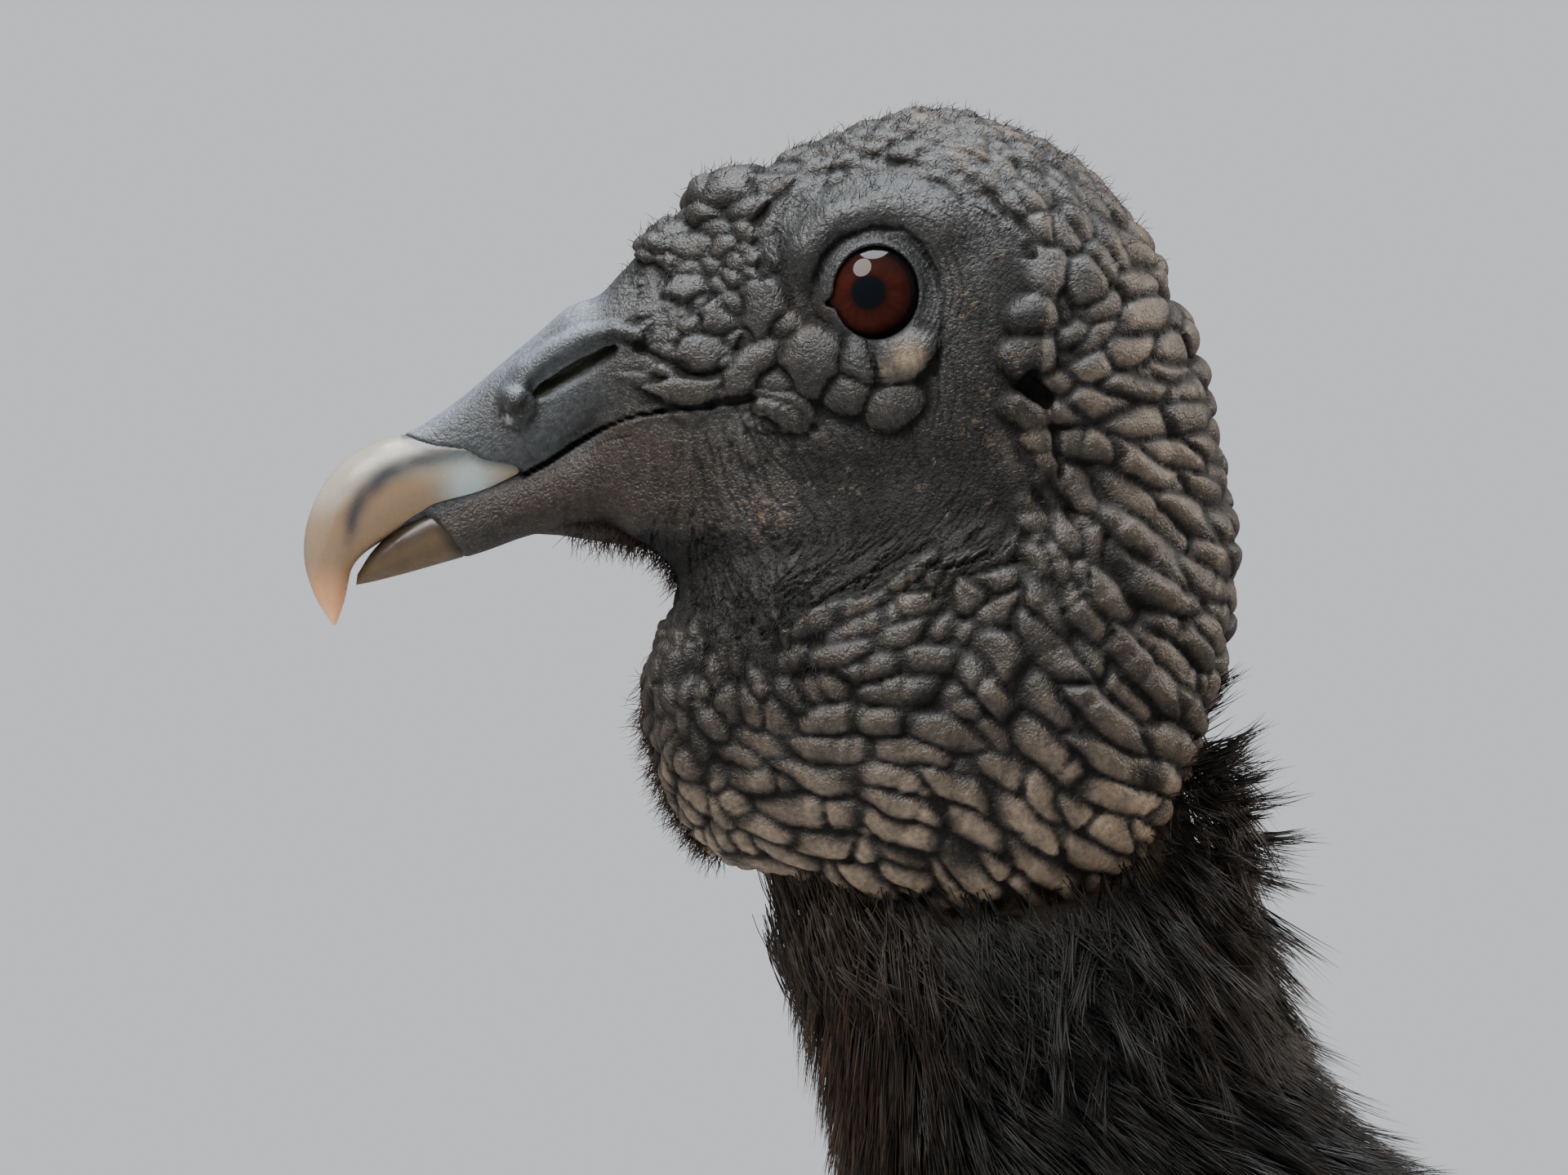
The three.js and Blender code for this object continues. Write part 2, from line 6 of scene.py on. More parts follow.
import bpy
import numpy as np
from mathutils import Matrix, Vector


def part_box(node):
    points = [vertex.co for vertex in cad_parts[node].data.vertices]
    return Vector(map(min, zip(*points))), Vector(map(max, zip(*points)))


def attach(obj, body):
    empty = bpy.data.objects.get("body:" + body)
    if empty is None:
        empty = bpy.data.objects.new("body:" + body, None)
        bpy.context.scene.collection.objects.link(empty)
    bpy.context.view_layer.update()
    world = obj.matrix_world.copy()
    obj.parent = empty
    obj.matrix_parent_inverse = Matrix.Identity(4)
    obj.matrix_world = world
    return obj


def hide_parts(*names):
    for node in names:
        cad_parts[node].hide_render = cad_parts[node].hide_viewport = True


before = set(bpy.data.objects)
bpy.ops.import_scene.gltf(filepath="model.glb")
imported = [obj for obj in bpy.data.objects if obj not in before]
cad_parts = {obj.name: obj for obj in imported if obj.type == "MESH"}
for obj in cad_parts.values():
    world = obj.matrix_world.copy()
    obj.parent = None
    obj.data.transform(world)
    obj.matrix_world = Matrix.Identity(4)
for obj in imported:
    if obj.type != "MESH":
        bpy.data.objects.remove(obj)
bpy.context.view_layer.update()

import openvdb
from mathutils import Vector
from mathutils.kdtree import KDTree

MM = 0.001
SEED = 20731
rng = np.random.default_rng(SEED)

# ---- where things are -----------------------------------------------------------------------------
eye_low, eye_high = (np.array(corner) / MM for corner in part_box("eye_left"))
EYE_BALL = (eye_high - eye_low)[2] / 2
EYE_CENTRE = (eye_low + eye_high) / 2
ORIGIN = np.array([0.0, EYE_CENTRE[1], EYE_CENTRE[2]])
EYE_OUT = EYE_CENTRE[0]


# ---- small helpers ----------------------------------------------------------------------------------
def smooth(value, low, high):
    """0 below low, 1 above high and smooth between."""
    t = np.clip((value - low) / (high - low), 0, 1)
    return t * t * (3 - 2 * t)


def unit(vectors):
    return vectors / np.maximum(np.linalg.norm(vectors, axis=-1, keepdims=True), 1e-9)


def soft_min(a, b, reach):
    """The smaller of two distances, rounded where they meet."""
    h = np.clip(0.5 + 0.5 * (b - a) / reach, 0, 1)
    return b + (a - b) * h - reach * h * (1 - h)


def shaded(colour, factor):
    """One colour for every point, lighter or darker by each point's factor."""
    return np.array(colour) * factor[:, None]


def between(values, place):
    """A grid's values at places given in grid steps, between the grid points."""
    base = np.clip(np.floor(place).astype(int), 0, np.array(values.shape) - 2)
    part = np.clip(place - base, 0, 1)
    total = np.zeros(len(place))
    for corner in np.ndindex(*(2,) * values.ndim):
        weight = np.prod(np.where(corner, part, 1 - part), axis=1)
        total += weight * values[tuple((base + corner).T)]
    return total


def tree_of(points):
    """A tree that finds which points are near a place."""
    tree = KDTree(len(points))
    for k, point in enumerate(points):
        tree.insert(point, k)
    tree.balance()
    return tree


class Noise:
    """Smooth random values between -1 and 1 in space."""

    def __init__(self, seed, size=32):
        self.size = size
        self.values = np.random.default_rng(seed).uniform(-1, 1, (size, size, size)).astype(np.float32)

    def __call__(self, points):
        base = np.floor(points).astype(np.int64)
        part = points - base
        part = part * part * (3 - 2 * part)
        total = np.zeros(len(points), np.float32)
        for corner in np.ndindex(2, 2, 2):
            index = (base + corner) % self.size
            weight = np.prod(np.where(corner, part, 1 - part), axis=1)
            total += weight * self.values[index[:, 0], index[:, 1], index[:, 2]]
        return total


noise_a, noise_b, noise_c = Noise(11), Noise(12), Noise(13)


def read(items, key, kind, width=1):
    """What Blender keeps under key for each of some items, as an array."""
    values = np.empty(len(items) * width, kind)
    items.foreach_get(key, values)
    return values if width == 1 else values.reshape(-1, width)


def arrays(mesh):
    """Vertices in millimetres and triangles of a mesh."""
    mesh.calc_loop_triangles()
    points = read(mesh.vertices, "co", np.float32, 3)
    return points / MM, read(mesh.loop_triangles, "vertices", np.int32, 3)


def welded(points, triangles):
    """The same surface with one vertex at each place."""
    _, first, inverse = np.unique(np.round(points, 3), axis=0, return_index=True, return_inverse=True)
    triangles = inverse.reshape(-1)[triangles]
    keep = (triangles[:, 0] != triangles[:, 1]) & (triangles[:, 1] != triangles[:, 2])
    keep &= triangles[:, 0] != triangles[:, 2]
    return points[first], triangles[keep]


def vertex_normals(points, faces):
    normals = np.zeros_like(points, dtype=np.float64)
    a, b, c = (points[faces[:, k]] for k in range(3))
    face = np.cross(b - a, c - a)
    if faces.shape[1] == 4:
        face = np.cross(c - a, points[faces[:, 3]] - b)
    for k in range(faces.shape[1]):
        np.add.at(normals, faces[:, k], face)
    return unit(normals)


def node_surface(name, grow=0.0):
    """The surface of a CAD node, pushed out by grow millimetres."""
    points, triangles = welded(*arrays(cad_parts[name].data))
    if grow:
        points = points + grow * vertex_normals(points, triangles)
    return points, triangles


def add_mesh(name, points, faces, smooth_shaded=True):
    """A mesh object from points in millimetres and faces given as arrays of three or four corners."""
    mesh = bpy.data.meshes.new(name)
    groups = [np.asarray(f, np.int32) for f in (faces if isinstance(faces, (list, tuple)) else [faces])]
    groups = [f for f in groups if len(f)]
    mesh.vertices.add(len(points))
    mesh.vertices.foreach_set("co", (np.asarray(points, np.float32) * MM).reshape(-1))
    corners = np.concatenate([f.reshape(-1) for f in groups])
    sizes = np.concatenate([np.full(len(f), f.shape[1], np.int32) for f in groups])
    mesh.loops.add(len(corners))
    mesh.loops.foreach_set("vertex_index", corners)
    mesh.polygons.add(len(sizes))
    mesh.polygons.foreach_set("loop_start", np.concatenate([[0], np.cumsum(sizes)[:-1]]).astype(np.int32))
    mesh.update(calc_edges=True)
    mesh.polygons.foreach_set("use_smooth", np.full(len(sizes), smooth_shaded))
    mesh.validate()
    piece = bpy.data.objects.new(name, mesh)
    bpy.context.scene.collection.objects.link(piece)
    return piece


# ---- distance fields ----------------------------------------------------------------------------------
class Field:
    """Distances to a surface on a grid of points, negative inside, in millimetres."""

    def __init__(self, low, high, step):
        self.step = step
        self.first = np.floor(np.array(low) / step).astype(int)
        self.shape = tuple(np.ceil(np.array(high) / step).astype(int) - self.first + 1)

    def from_surface(self, points, triangles, band):
        turn = openvdb.createLinearTransform(voxelSize=self.step)
        grid = openvdb.FloatGrid.createLevelSetFromPolygons(
            np.ascontiguousarray(points, np.float32), triangles=np.ascontiguousarray(triangles, np.uint32),
            transform=turn, halfWidth=band)
        values = np.empty(self.shape, np.float32)
        grid.copyToArray(values, ijk=tuple(int(i) for i in self.first))
        return values

    def axes(self):
        """Open arrays of the x, y and z of every grid point."""
        lines = [(self.first[k] + np.arange(self.shape[k])) * self.step for k in range(3)]
        return np.meshgrid(*(line.astype(np.float32) for line in lines), indexing="ij", sparse=True)

    def surface(self, values):
        """The closed surface where the field is zero, as points and four-cornered faces."""
        grid = openvdb.FloatGrid(float(values.max()))
        grid.copyFromArray(values, ijk=tuple(int(i) for i in self.first), tolerance=0)
        grid.transform = openvdb.createLinearTransform(voxelSize=self.step)
        points, quads = grid.convertToQuads(0)
        points = points.astype(np.float64)
        quads = quads.astype(np.int32)
        a, b, c, d = (points[quads[:, k]] for k in range(4))
        volume = np.einsum("ij,ij->i", a, np.cross(b, c) + np.cross(c, d)).sum()
        return points, quads if volume > 0 else quads[:, ::-1]

    def renewed(self, values, band):
        """True distances to the outside of the surface where the field is zero."""
        points, quads = self.surface(values)
        return self.from_surface(points, quads_cut(outside_only(points, quads)), band)

    def sample(self, values, points):
        """The field's value at each point."""
        return between(values, points / self.step - self.first)


def quads_cut(quads):
    return np.concatenate([quads[:, [0, 1, 2]], quads[:, [0, 2, 3]]])


def outside_only(points, quads):
    """The faces of the largest connected surface."""
    label = np.arange(len(points))
    while True:
        lowest = label[quads].min(1)
        before = label.copy()
        for k in range(4):
            np.minimum.at(label, quads[:, k], lowest)
        label = label[label]
        if np.array_equal(before, label):
            break
    of_face = label[quads[:, 0]]
    names, counts = np.unique(of_face, return_counts=True)
    return quads[of_face == names[counts.argmax()]]


def compact(points, quads):
    """Only the points that faces use."""
    used, index = np.unique(quads, return_inverse=True)
    return points[used], index.reshape(quads.shape)


def blurred(values, radius):
    """values with each point averaged over its neighbours, radius in grid steps."""
    reach = int(math.ceil(radius * 2.5))
    weights = np.exp(-0.5 * (np.arange(-reach, reach + 1) / radius) ** 2)
    weights /= weights.sum()
    for axis in range(3):
        padded = np.pad(values, [(reach, reach) if k == axis else (0, 0) for k in range(3)], mode="edge")
        total = np.zeros_like(values)
        for k, weight in enumerate(weights):
            cut = [slice(None)] * 3
            cut[axis] = slice(k, k + values.shape[axis])
            total += np.float32(weight) * padded[tuple(cut)]
        values = total
    return values


# ---- bill ---------------------------------------------------------------------------------------------
# Each half lies between two edges of the side view, back and up from the eye: top, bottom, half-width.
UPPER_BILL = (
    ((-27, 1.4), (-27, -14), 8.6), ((-36, -0.8), (-36, -18), 7.7), ((-41, -4.6), (-40, -21), 6.9),
    ((-46, -8.8), (-44.6, -23.6), 6), ((-51, -13), (-48.6, -25.4), 5.2), ((-56.4, -16.6), (-53, -26.4), 4.9),
    ((-61, -18), (-57, -28.2), 5), ((-65, -20.3), (-60.4, -30.2), 4.9), ((-68, -24), (-62.8, -31.9), 4.5),
    ((-69.7, -28.4), (-64.1, -33.6), 3.8), ((-69.9, -32.8), (-64.6, -35.6), 2.9),
    ((-68.6, -37), (-65.1, -37.8), 1.8), ((-66.4, -40.6), (-66, -40.4), 0.3),
)
LOWER_BILL = (
    ((-26, -12.8), (-26, -26.6), 7.8), ((-34, -15.4), (-33, -28), 7.1), ((-39, -18.6), (-38, -28.4), 6.2),
    ((-44, -21.4), (-43, -29.6), 5.3), ((-49, -23.9), (-48, -31.4), 4.6), ((-54, -25.6), (-53.4, -33), 4.1),
    ((-58, -28), (-58, -34.3), 3.6), ((-61.4, -31.2), (-61.6, -35.2), 2.8),
    ((-63.4, -34.2), (-63.6, -35.6), 1.2),
)


def through(values, steps, first_place):
    """A smooth curve through a list of values, at steps + 1 even places."""
    values = np.array(values, float)
    padded = np.concatenate([[2 * values[0] - values[1]], values, [2 * values[-1] - values[-2]]])
    places = np.linspace(first_place, len(values) - 1, steps + 1)
    first = np.minimum(places.astype(int), len(values) - 2)
    t = (places - first)[:, None] if values.ndim > 1 else places - first
    a, b, c, d = (padded[first + k] for k in range(4))
    return b + 0.5 * t * (c - a + t * (2 * a - 5 * b + 4 * c - d + t * (3 * (b - c) + d - a)))


def tube_faces(rings, sides):
    """Four-cornered faces between rings of equal length, and the fans that close the two ends."""
    i, k = np.meshgrid(np.arange(rings - 1), np.arange(sides), indexing="ij")
    a = (i * sides + k).reshape(-1)
    b = (i * sides + (k + 1) % sides).reshape(-1)
    walls = np.stack([a, a + sides, b + sides, b], axis=1)
    k = np.arange(sides)
    last = (rings - 1) * sides
    ends = [np.stack([np.full(sides, rings * sides), k, (k + 1) % sides], axis=1),
            np.stack([np.full(sides, rings * sides + 1), last + (k + 1) % sides, last + k], axis=1)]
    return walls, np.concatenate(ends)


BILL_SQUARE = 2.3  # an ellipse's section has 2; more is squarer


def bill_surface(stations, steps, sides, first_place=0.0):
    """Points and faces of half a bill, around (0, 0, 0) at the eye."""
    tops = through([s[0] for s in stations], steps, first_place)
    bottoms = through([s[1] for s in stations], steps, first_place)
    widths = np.maximum(0.25, through([s[2] for s in stations], steps, first_place))
    angles = 2 * np.pi * np.arange(sides) / sides
    side = np.sign(np.cos(angles)) * np.abs(np.cos(angles)) ** (2 / BILL_SQUARE)
    rise = np.sign(np.sin(angles)) * np.abs(np.sin(angles)) ** (2 / BILL_SQUARE)
    up = tops - bottoms
    centres = bottoms + 0.42 * up
    share = np.where(rise > 0, 0.58 * rise, 0.42 * rise)
    flat = centres[:, None] + share[None, :, None] * up[:, None]
    rings = np.concatenate([(widths[:, None] * side)[..., None], flat], axis=2)
    points = np.concatenate([rings.reshape(-1, 3), rings[0].mean(0)[None], rings[-1].mean(0)[None]])
    walls, ends = outward(points, *tube_faces(steps + 1, sides))
    return points, walls, ends


def triangulated(walls, ends):
    return np.concatenate([walls[:, [0, 1, 2]], walls[:, [0, 2, 3]], ends])


def outward(points, walls, ends):
    """The same faces, turned so that they look out."""
    a, b, c = (points[triangulated(walls, ends)[:, k]] for k in range(3))
    if np.einsum("ij,ij->i", a, np.cross(b, c)).sum() < 0:
        return walls[:, ::-1], ends[:, ::-1]
    return walls, ends


# ---- skin of the head: its folds -------------------------------------------------------------------------
# How the folds lie at landmarks of the side view: back, up, length, width, turn of the long way from
# backwards towards down in degrees, and height. Widths under 2 mm are wrinkles.
FOLDS = (
    # front of the pouch
    (-24, -42, 3, 2.6, 90, 1.2), (-25, -50, 3.4, 2.8, 90, 1.5), (-21, -62, 3.4, 3, 60, 1.5),
    (-14, -66, 3.6, 3, 40, 1.4), (-14, -52, 4.4, 3.4, 60, 1.6), (-17, -46, 3.6, 3, 80, 1.5),
    (-12, -57, 8.5, 3.8, 0, 1.8), (-11, -63, 9.5, 4, 5, 1.9), (-6, -68, 10.5, 4.4, 8, 2),
    (3, -74, 8, 4.4, 30, 1.9), (13, -75, 8, 4.2, 45, 1.9),
    # middle of the pouch
    (-3, -50, 6.5, 4.2, -10, 1.9), (-1, -56, 8.5, 4, 8, 2), (5, -60, 9.5, 4.2, 12, 2),
    (8, -65, 9, 4, 28, 2), (18, -71, 10.5, 4.5, 38, 2.1), (28, -70, 9, 4, 30, 2),
    (-6, -43.5, 5.5, 4, -18, 1.7), (3, -38.5, 6, 4, -25, 1.6), (12, -38, 8, 4.4, -35, 1.8),
    (9, -44, 7.5, 4.5, 0, 2), (15, -46, 8, 5, 50, 2.1), (21, -42, 9, 4.7, 52, 2.1),
    (23, -50, 8.5, 5, 45, 2.2), (29, -46, 9.5, 5, 50, 2.2), (35, -50, 9.5, 4.7, 40, 2.2),
    (31, -57, 9.5, 4.5, 22, 2.1), (35, -62, 8, 3.8, 12, 2), (17, -56, 9.5, 4.5, 40, 2.1),
    (13, -62, 9.5, 4.2, 42, 2), (25, -64, 9.5, 4.3, 30, 2.1),
    # nape
    (38, -40, 8.5, 4.8, 35, 2.3), (42, -34, 8, 4.8, 25, 2.3), (33, -29, 10, 4.4, 42, 2.2),
    (29, -23, 9, 4.2, 40, 2.1), (38, -22, 8.5, 4.8, 20, 2.4), (25, -29, 5, 3, 65, 1.6),
    (22, -35, 4.5, 3, 65, 1.5), (26, -15, 8, 4.4, 8, 2.2), (34, -13, 9, 5, -10, 2.4),
    (40, -11, 7, 5, 0, 2.4), (28, -6, 8, 4.4, -30, 2.2), (36, -3, 6, 4.6, -15, 2.2),
    (32, 6, 5.5, 4.4, 30, 1.9), (26, 5, 5.4, 4, 70, 1.8), (26, 12, 4.4, 3.5, 45, 1.5),
    (20, 12, 4.2, 3.2, 55, 1.6), (22, 17, 3.6, 3, 20, 1.5), (14, 15, 3.6, 2.8, 50, 1.3),
    (13, 20, 3.4, 2.8, 0, 1.5),
    # crown and forehead
    (5, 21.5, 3.8, 3.1, 0, 1.6), (7, 16.5, 3, 2.4, 20, 1.0), (-2, 19, 3.4, 2.8, 0, 1.5),
    (-10, 16.5, 3.5, 2.8, -20, 1.5), (-17, 12.5, 5, 4, -20, 1.7), (-22, 9, 4.2, 3.4, 10, 1.6),
    (-26, 6, 3.8, 3.0, 20, 1.5), (-21, 4.5, 3.6, 2.8, 10, 1.2), (-17, 5, 3.2, 2.6, 40, 1.1),
    (-30, 1.5, 2, 1.5, 0, 0.4), (-26, -1.5, 3, 2.3, -10, 0.8), (-27, -4.5, 2.2, 1.6, -20, 0.4),
    (-22, -6.5, 4.5, 3.6, -20, 1), (-24, -12, 6, 2.6, -5, 0.5), (-17, -12, 6, 2.6, -10, 0.6),
    # fine wrinkles: brow, round the eye, temple, cheek, throat and chin
    (-8, 9, 4, 1.1, -60, 0.3), (0, 10, 4, 1.1, -25, 0.3), (6, 11, 4, 1.2, 30, 0.3),
    (-9, 3, 4.5, 1.4, -70, 0.4), (0, 6.3, 4, 0.9, 0, 0.22), (8, 0, 5, 1.1, 85, 0.3),
    (12, 6, 4, 1.3, 60, 0.35), (14, -2, 4, 1.3, 80, 0.3), (9, -9, 5, 1.2, 90, 0.35),
    (13, -9, 4, 1.4, 80, 0.35), (16, -19, 5, 1.5, 80, 0.35), (10, -20, 4, 1.3, 85, 0.35),
    (2, -20, 4, 1.3, 80, 0.35), (-6, -17, 7, 1.4, 52, 0.4), (-12, -19, 8, 1.6, 60, 0.45),
    (-19, -20, 8, 1.9, 78, 0.4), (-26, -20, 8, 1.9, 95, 0.25), (-14, -26, 6, 1.4, 60, 0.35),
    (-6, -27, 5, 1.3, 70, 0.35), (4, -28, 6, 1.2, -50, 0.4), (-16, -33, 5, 1.2, 60, 0.4),
    (-9, -35, 6.5, 1.3, -35, 0.55), (0, -33.5, 7, 1.3, -38, 0.6), (10, -31, 7, 1.3, -45, 0.55),
    (-17, -40, 5, 1.3, 60, 0.5), (-22, -34, 4, 1.2, 90, 0.5), (-34, -10, 6, 1.8, 30, 0.12),
    (-34, -24, 6, 1.8, -10, 0.12),
)

# Knobs with a place of their own round the eye, ear and gape: back, up, length, width, turn, height.
KNOBS = (
    (-8.2, -8.2, 7, 5.4, 10, 1.9), (-2.4, -8.4, 4.8, 4.2, 85, 1.6), (-3.4, -12, 4.8, 3.6, 20, 1.3),
    (3.2, -7.8, 5.6, 4.8, -30, 1.8), (2.6, -13.6, 5.0, 3.6, -30, 1.3), (-11.5, -13.8, 6, 3.2, 25, 1.1),
    (-15.3, -9.4, 9, 4.6, -42, 1.6), (-21.4, -11.6, 13, 3.4, -8, 1.0), (-14, -2.4, 7.5, 5, 80, 1.4),
    (-19.2, -3.6, 5.4, 3.8, 75, 1.6), (-20.6, -7.4, 7, 4.4, -20, 1.2), (-17.4, 12.8, 6.4, 5, -35, 1.9),
    (-12.6, 15.4, 5, 3.4, 10, 0.8), (-11.8, -10.5, 4.2, 3.4, 10, 1.0), (-16.9, -1.8, 3.6, 3, 70, 1.3),
    (-11.2, -4.6, 3.4, 3, 0, 0.9), (-22.4, 0.4, 5, 3, 0, 1.1), (-21.8, 5.2, 3.6, 3, 20, 1.2),
    (-18.4, 5.4, 3.2, 2.8, 10, 1.2), (19.2, -3.4, 4.6, 4, 0, 1.9), (20.4, 1.8, 6.2, 4.4, 80, 2),
    (24.4, 1, 6, 4.2, 85, 2), (19.6, -7.4, 5.4, 4.2, -20, 1.9), (23.4, -5.6, 5, 4, -55, 1.9),
    (22.4, -11.6, 4, 3.6, 10, 1.7), (26.2, -13.6, 8, 4, 8, 2), (31, -16, 8, 4, 8, 2),
    (26, -9.4, 5.4, 4, -30, 2), (30.4, -7, 6, 4.2, -35, 2), (34.6, -7.2, 6, 4.4, -20, 2.1),
    (31.6, -3.2, 9, 4.2, -35, 2.1), (38.6, -5, 4.6, 3.6, -20, 2.4),
)

BOSSES = (((-25.4, 5.6), 3.9, 6.5), ((-19.2, 11.0), 4.6, 8.0))  # forehead: back and up, size, half-width

# Creases cut into the face: the points they run through, width and depth.
CREASES = (
    (((-43, -22.2), (-40, -20.6), (-37.2, -18.7), (-33.6, -16.6), (-30.2, -15.2), (-26, -14.4)), 0.36, 0.85),
    (((-27, -14.6), (-23.5, -14), (-20, -13.7)), 0.5, 0.55),
    (((-20, -13.7), (-16.8, -13.3), (-14.2, -12.6), (-10.6, -13.6), (-7.4, -16.6)), 0.8, 0.5),
    (((-29, -6.6), (-26, -8.2), (-23, -10), (-20, -10.2), (-18, -9), (-16.8, -7.2), (-16.4, -5.6)),
     0.8, 0.8),
    (((3, 8), (5.4, 5.9), (7.4, 2.4), (8.2, -2), (7.9, -6), (7.2, -10)), 0.4, 0.35),
    (((-7.4, 1.4), (-6.6, 4), (-4, 6.6), (-0.5, 7.9), (3, 7.6)), 0.5, 0.3),
    (((20.6, -13.4), (21.6, -16.6), (22.4, -22), (24, -27)), 1.0, 1.5),
)

# Thin creases in the skin: the points they run through; all of one width and depth.
FINE_CREASES = (
    ((-17.2, -13.9), (-14.6, -18.7), (-12.8, -24.3)),
    ((-15.4, -13.9), (-13.8, -18.7), (-12, -20.7), (-8.8, -23.7)),
    ((-13.8, -14.5), (-11.2, -17.9), (-8.8, -20.7), (-7.4, -23.6)),
    ((-11.6, -14.9), (-10, -15.9), (-8, -17.7)), ((-20.8, -17.3), (-19.6, -20.9)),
    ((-17.2, -17.9), (-16, -21.9), (-14.8, -24.9), (-14.4, -27.9)),
    ((-19.2, -19.1), (-18, -24.3), (-16.4, -27.1)), ((-21.6, -20), (-20.6, -24.5)),
    ((-9.6, -24.5), (-7, -28)), ((-13.4, -30), (-11, -33.5), (-9.6, -37)),
    ((-15.8, -30), (-14.4, -34), (-14, -38)), ((-18.6, -30), (-17.2, -35), (-17.4, -39)),
    ((-10, -29), (-12.4, -33), (-12, -36)), ((-55.2, -17.6), (-51.6, -16.6), (-48.4, -15.2)),
    ((-54.6, -18), (-51, -17.4), (-47.6, -16.4)), ((-36, -19.6), (-33, -18), (-30, -17.4)),
    ((7.4, -9), (7.6, -13), (6.8, -16.8)), ((9, -7), (9.8, -12), (9, -16)),
)
FINE_CREASE = {"width": 0.17, "depth": 0.15}
LID_WRINKLES = (6.8, 7.5, 8.4, 9.4, 10.6)  # how far from the pupil

NOSTRIL = {"front": (-41.2, -12.4), "back": (-31.9, -7.2), "half": 1.25, "depth": 2.7, "climb": 0.7}
EAR = {"front": (18.4, -11.0), "back": (20.2, -13.4), "half": 0.6, "depth": 1.9}
EYE_OPENING = {"across": 5.2, "high": 5.7, "corner": (-5.9, -1.3)}
LID_RADIUS = EYE_BALL + 0.75
HEAD_STEP = 0.40
HEAD_BOX = ((-34, -61, -88), (34, 58, 28))
COAT_DEPTH = 4.5  # how far the skin lies below the feathered neck's solid
LANDMARK_REACH = 2.6  # how far a landmark's folds reach before its neighbours' take over
FOLD_STRETCH = (1.30, 0.90)  # from a landmark's length and width to a single fold's
FOLD_ROOM = 0.74  # the share of its length and width that a fold keeps free of others
FOLD_EDGE = 0.73  # a fold's reach, in its own lengths and widths, where nothing lies beside it
FOLD_SHOULDER = 0.62  # how near the next fold has to be for a fold to slope down to it
FOLD_RISE = 1.12
FOLD_DOME = 0.55  # the share of a fold's height that is a dome; the rest is a pillow up to its neighbours
BEAD_LEAST = 1.2  # no bead between the folds is smaller
WRINKLE_WIDTH = 1.9  # landmarks narrower than this are wrinkles and get no folds

# Lines of the side view that swellings follow, back and up from the eye.
JAW = ((-58, -27), (-46, -24.4), (-38, -20.4), (-28, -17))
NOSTRIL_ROLL = ((-44.6, -12.4), (-42.8, -9.5), (-39.4, -7.0), (-35.8, -5.1), (-32.2, -4.1), (-29.0, -5.0))
CHIN = ((-40, -28), (-31, -29.4), (-25, -30.7), (-22, -33.9), (-19, -40))
BROW = ((-8, 5), (-5, 8.2), (1, 9.8), (7, 8))
BROW_SIDE = 14.6  # from the middle of the head
NOSTRIL_KNOB = {"place": (-44.0, -13.6), "reach": (2.3, 2.6), "height": 1.75}

# Where the horn of each half of the bill ends: places back and up from the eye.
UPPER_HORN_EDGE = ((-60, -58, -56, -54, -50, -48, -44, -42, -40),
                   (-8, -17, -17.9, -18.5, -19, -20.2, -21, -22.5, -27))
LOWER_HORN_EDGE = ((-50.4, -51.9, -54.5, -56), (-32, -29.6, -26.9, -24))


def polyline_distance(y, z, points):
    """The distance in the side view from every y, z to a line through some points."""
    best = None
    for (y0, z0), (y1, z1) in zip(points[:-1], points[1:]):
        dy, dz = y1 - y0, z1 - z0
        t = np.clip(((y - y0) * dy + (z - z0) * dz) / (dy * dy + dz * dz), 0, 1)
        distance = np.hypot(y - y0 - t * dy, z - z0 - t * dz)
        best = distance if best is None else np.minimum(best, distance)
    return best


def fold_at(y, z):
    """Length, width, turn and height of the folds at places of the side view."""
    marks = np.array(FOLDS)
    apart = (y[:, None] - marks[:, 0]) ** 2 + (z[:, None] - marks[:, 1]) ** 2
    near = np.exp(-apart / (2 * LANDMARK_REACH ** 2)) + 1e-12
    near /= near.sum(1, keepdims=True)
    turn = np.radians(marks[:, 4])
    doubled = np.arctan2(near @ np.sin(2 * turn), near @ np.cos(2 * turn)) / 2
    return near @ marks[:, 2], near @ marks[:, 3], doubled, near @ marks[:, 5]


def nearest_cells(places, centres, along, across, lengths, widths):
    """Which fold each place belongs to, by distance measured in the fold's own length and width."""
    tree = tree_of(places)
    best = np.full(len(places), np.inf)
    owner = np.full(len(places), -1)
    for i, centre in enumerate(centres):
        near = np.array([k for _, k, _ in tree.find_range(Vector(centre), 0.8 * lengths[i] + 0.5)], int)
        if not len(near):
            continue
        offset = places[near] - centre
        reach = np.hypot(offset @ along[i] / lengths[i], offset @ across[i] / widths[i])
        closer = reach < best[near]
        best[near[closer]] = reach[closer]
        owner[near[closer]] = i
    return owner, best


def along_side_view(normals, turns):
    """Unit vectors in the surface that look turned by these angles from the side."""
    y, z = np.cos(turns), -np.sin(turns)
    sideways = np.abs(normals[:, 0]).clip(0.08) * np.where(normals[:, 0] < 0, -1, 1)
    x = -(normals[:, 1] * y + normals[:, 2] * z) / sideways
    vectors = np.stack([x, y, z], axis=1)
    vectors -= normals * np.einsum("ij,ij->i", vectors, normals)[:, None]
    return unit(vectors)


def knob_rows():
    """The knobs with a place of their own, for both sides of the head."""
    rows = np.array(KNOBS, float)
    return np.concatenate([rows, rows]), np.repeat([1.0, -1.0], len(rows))


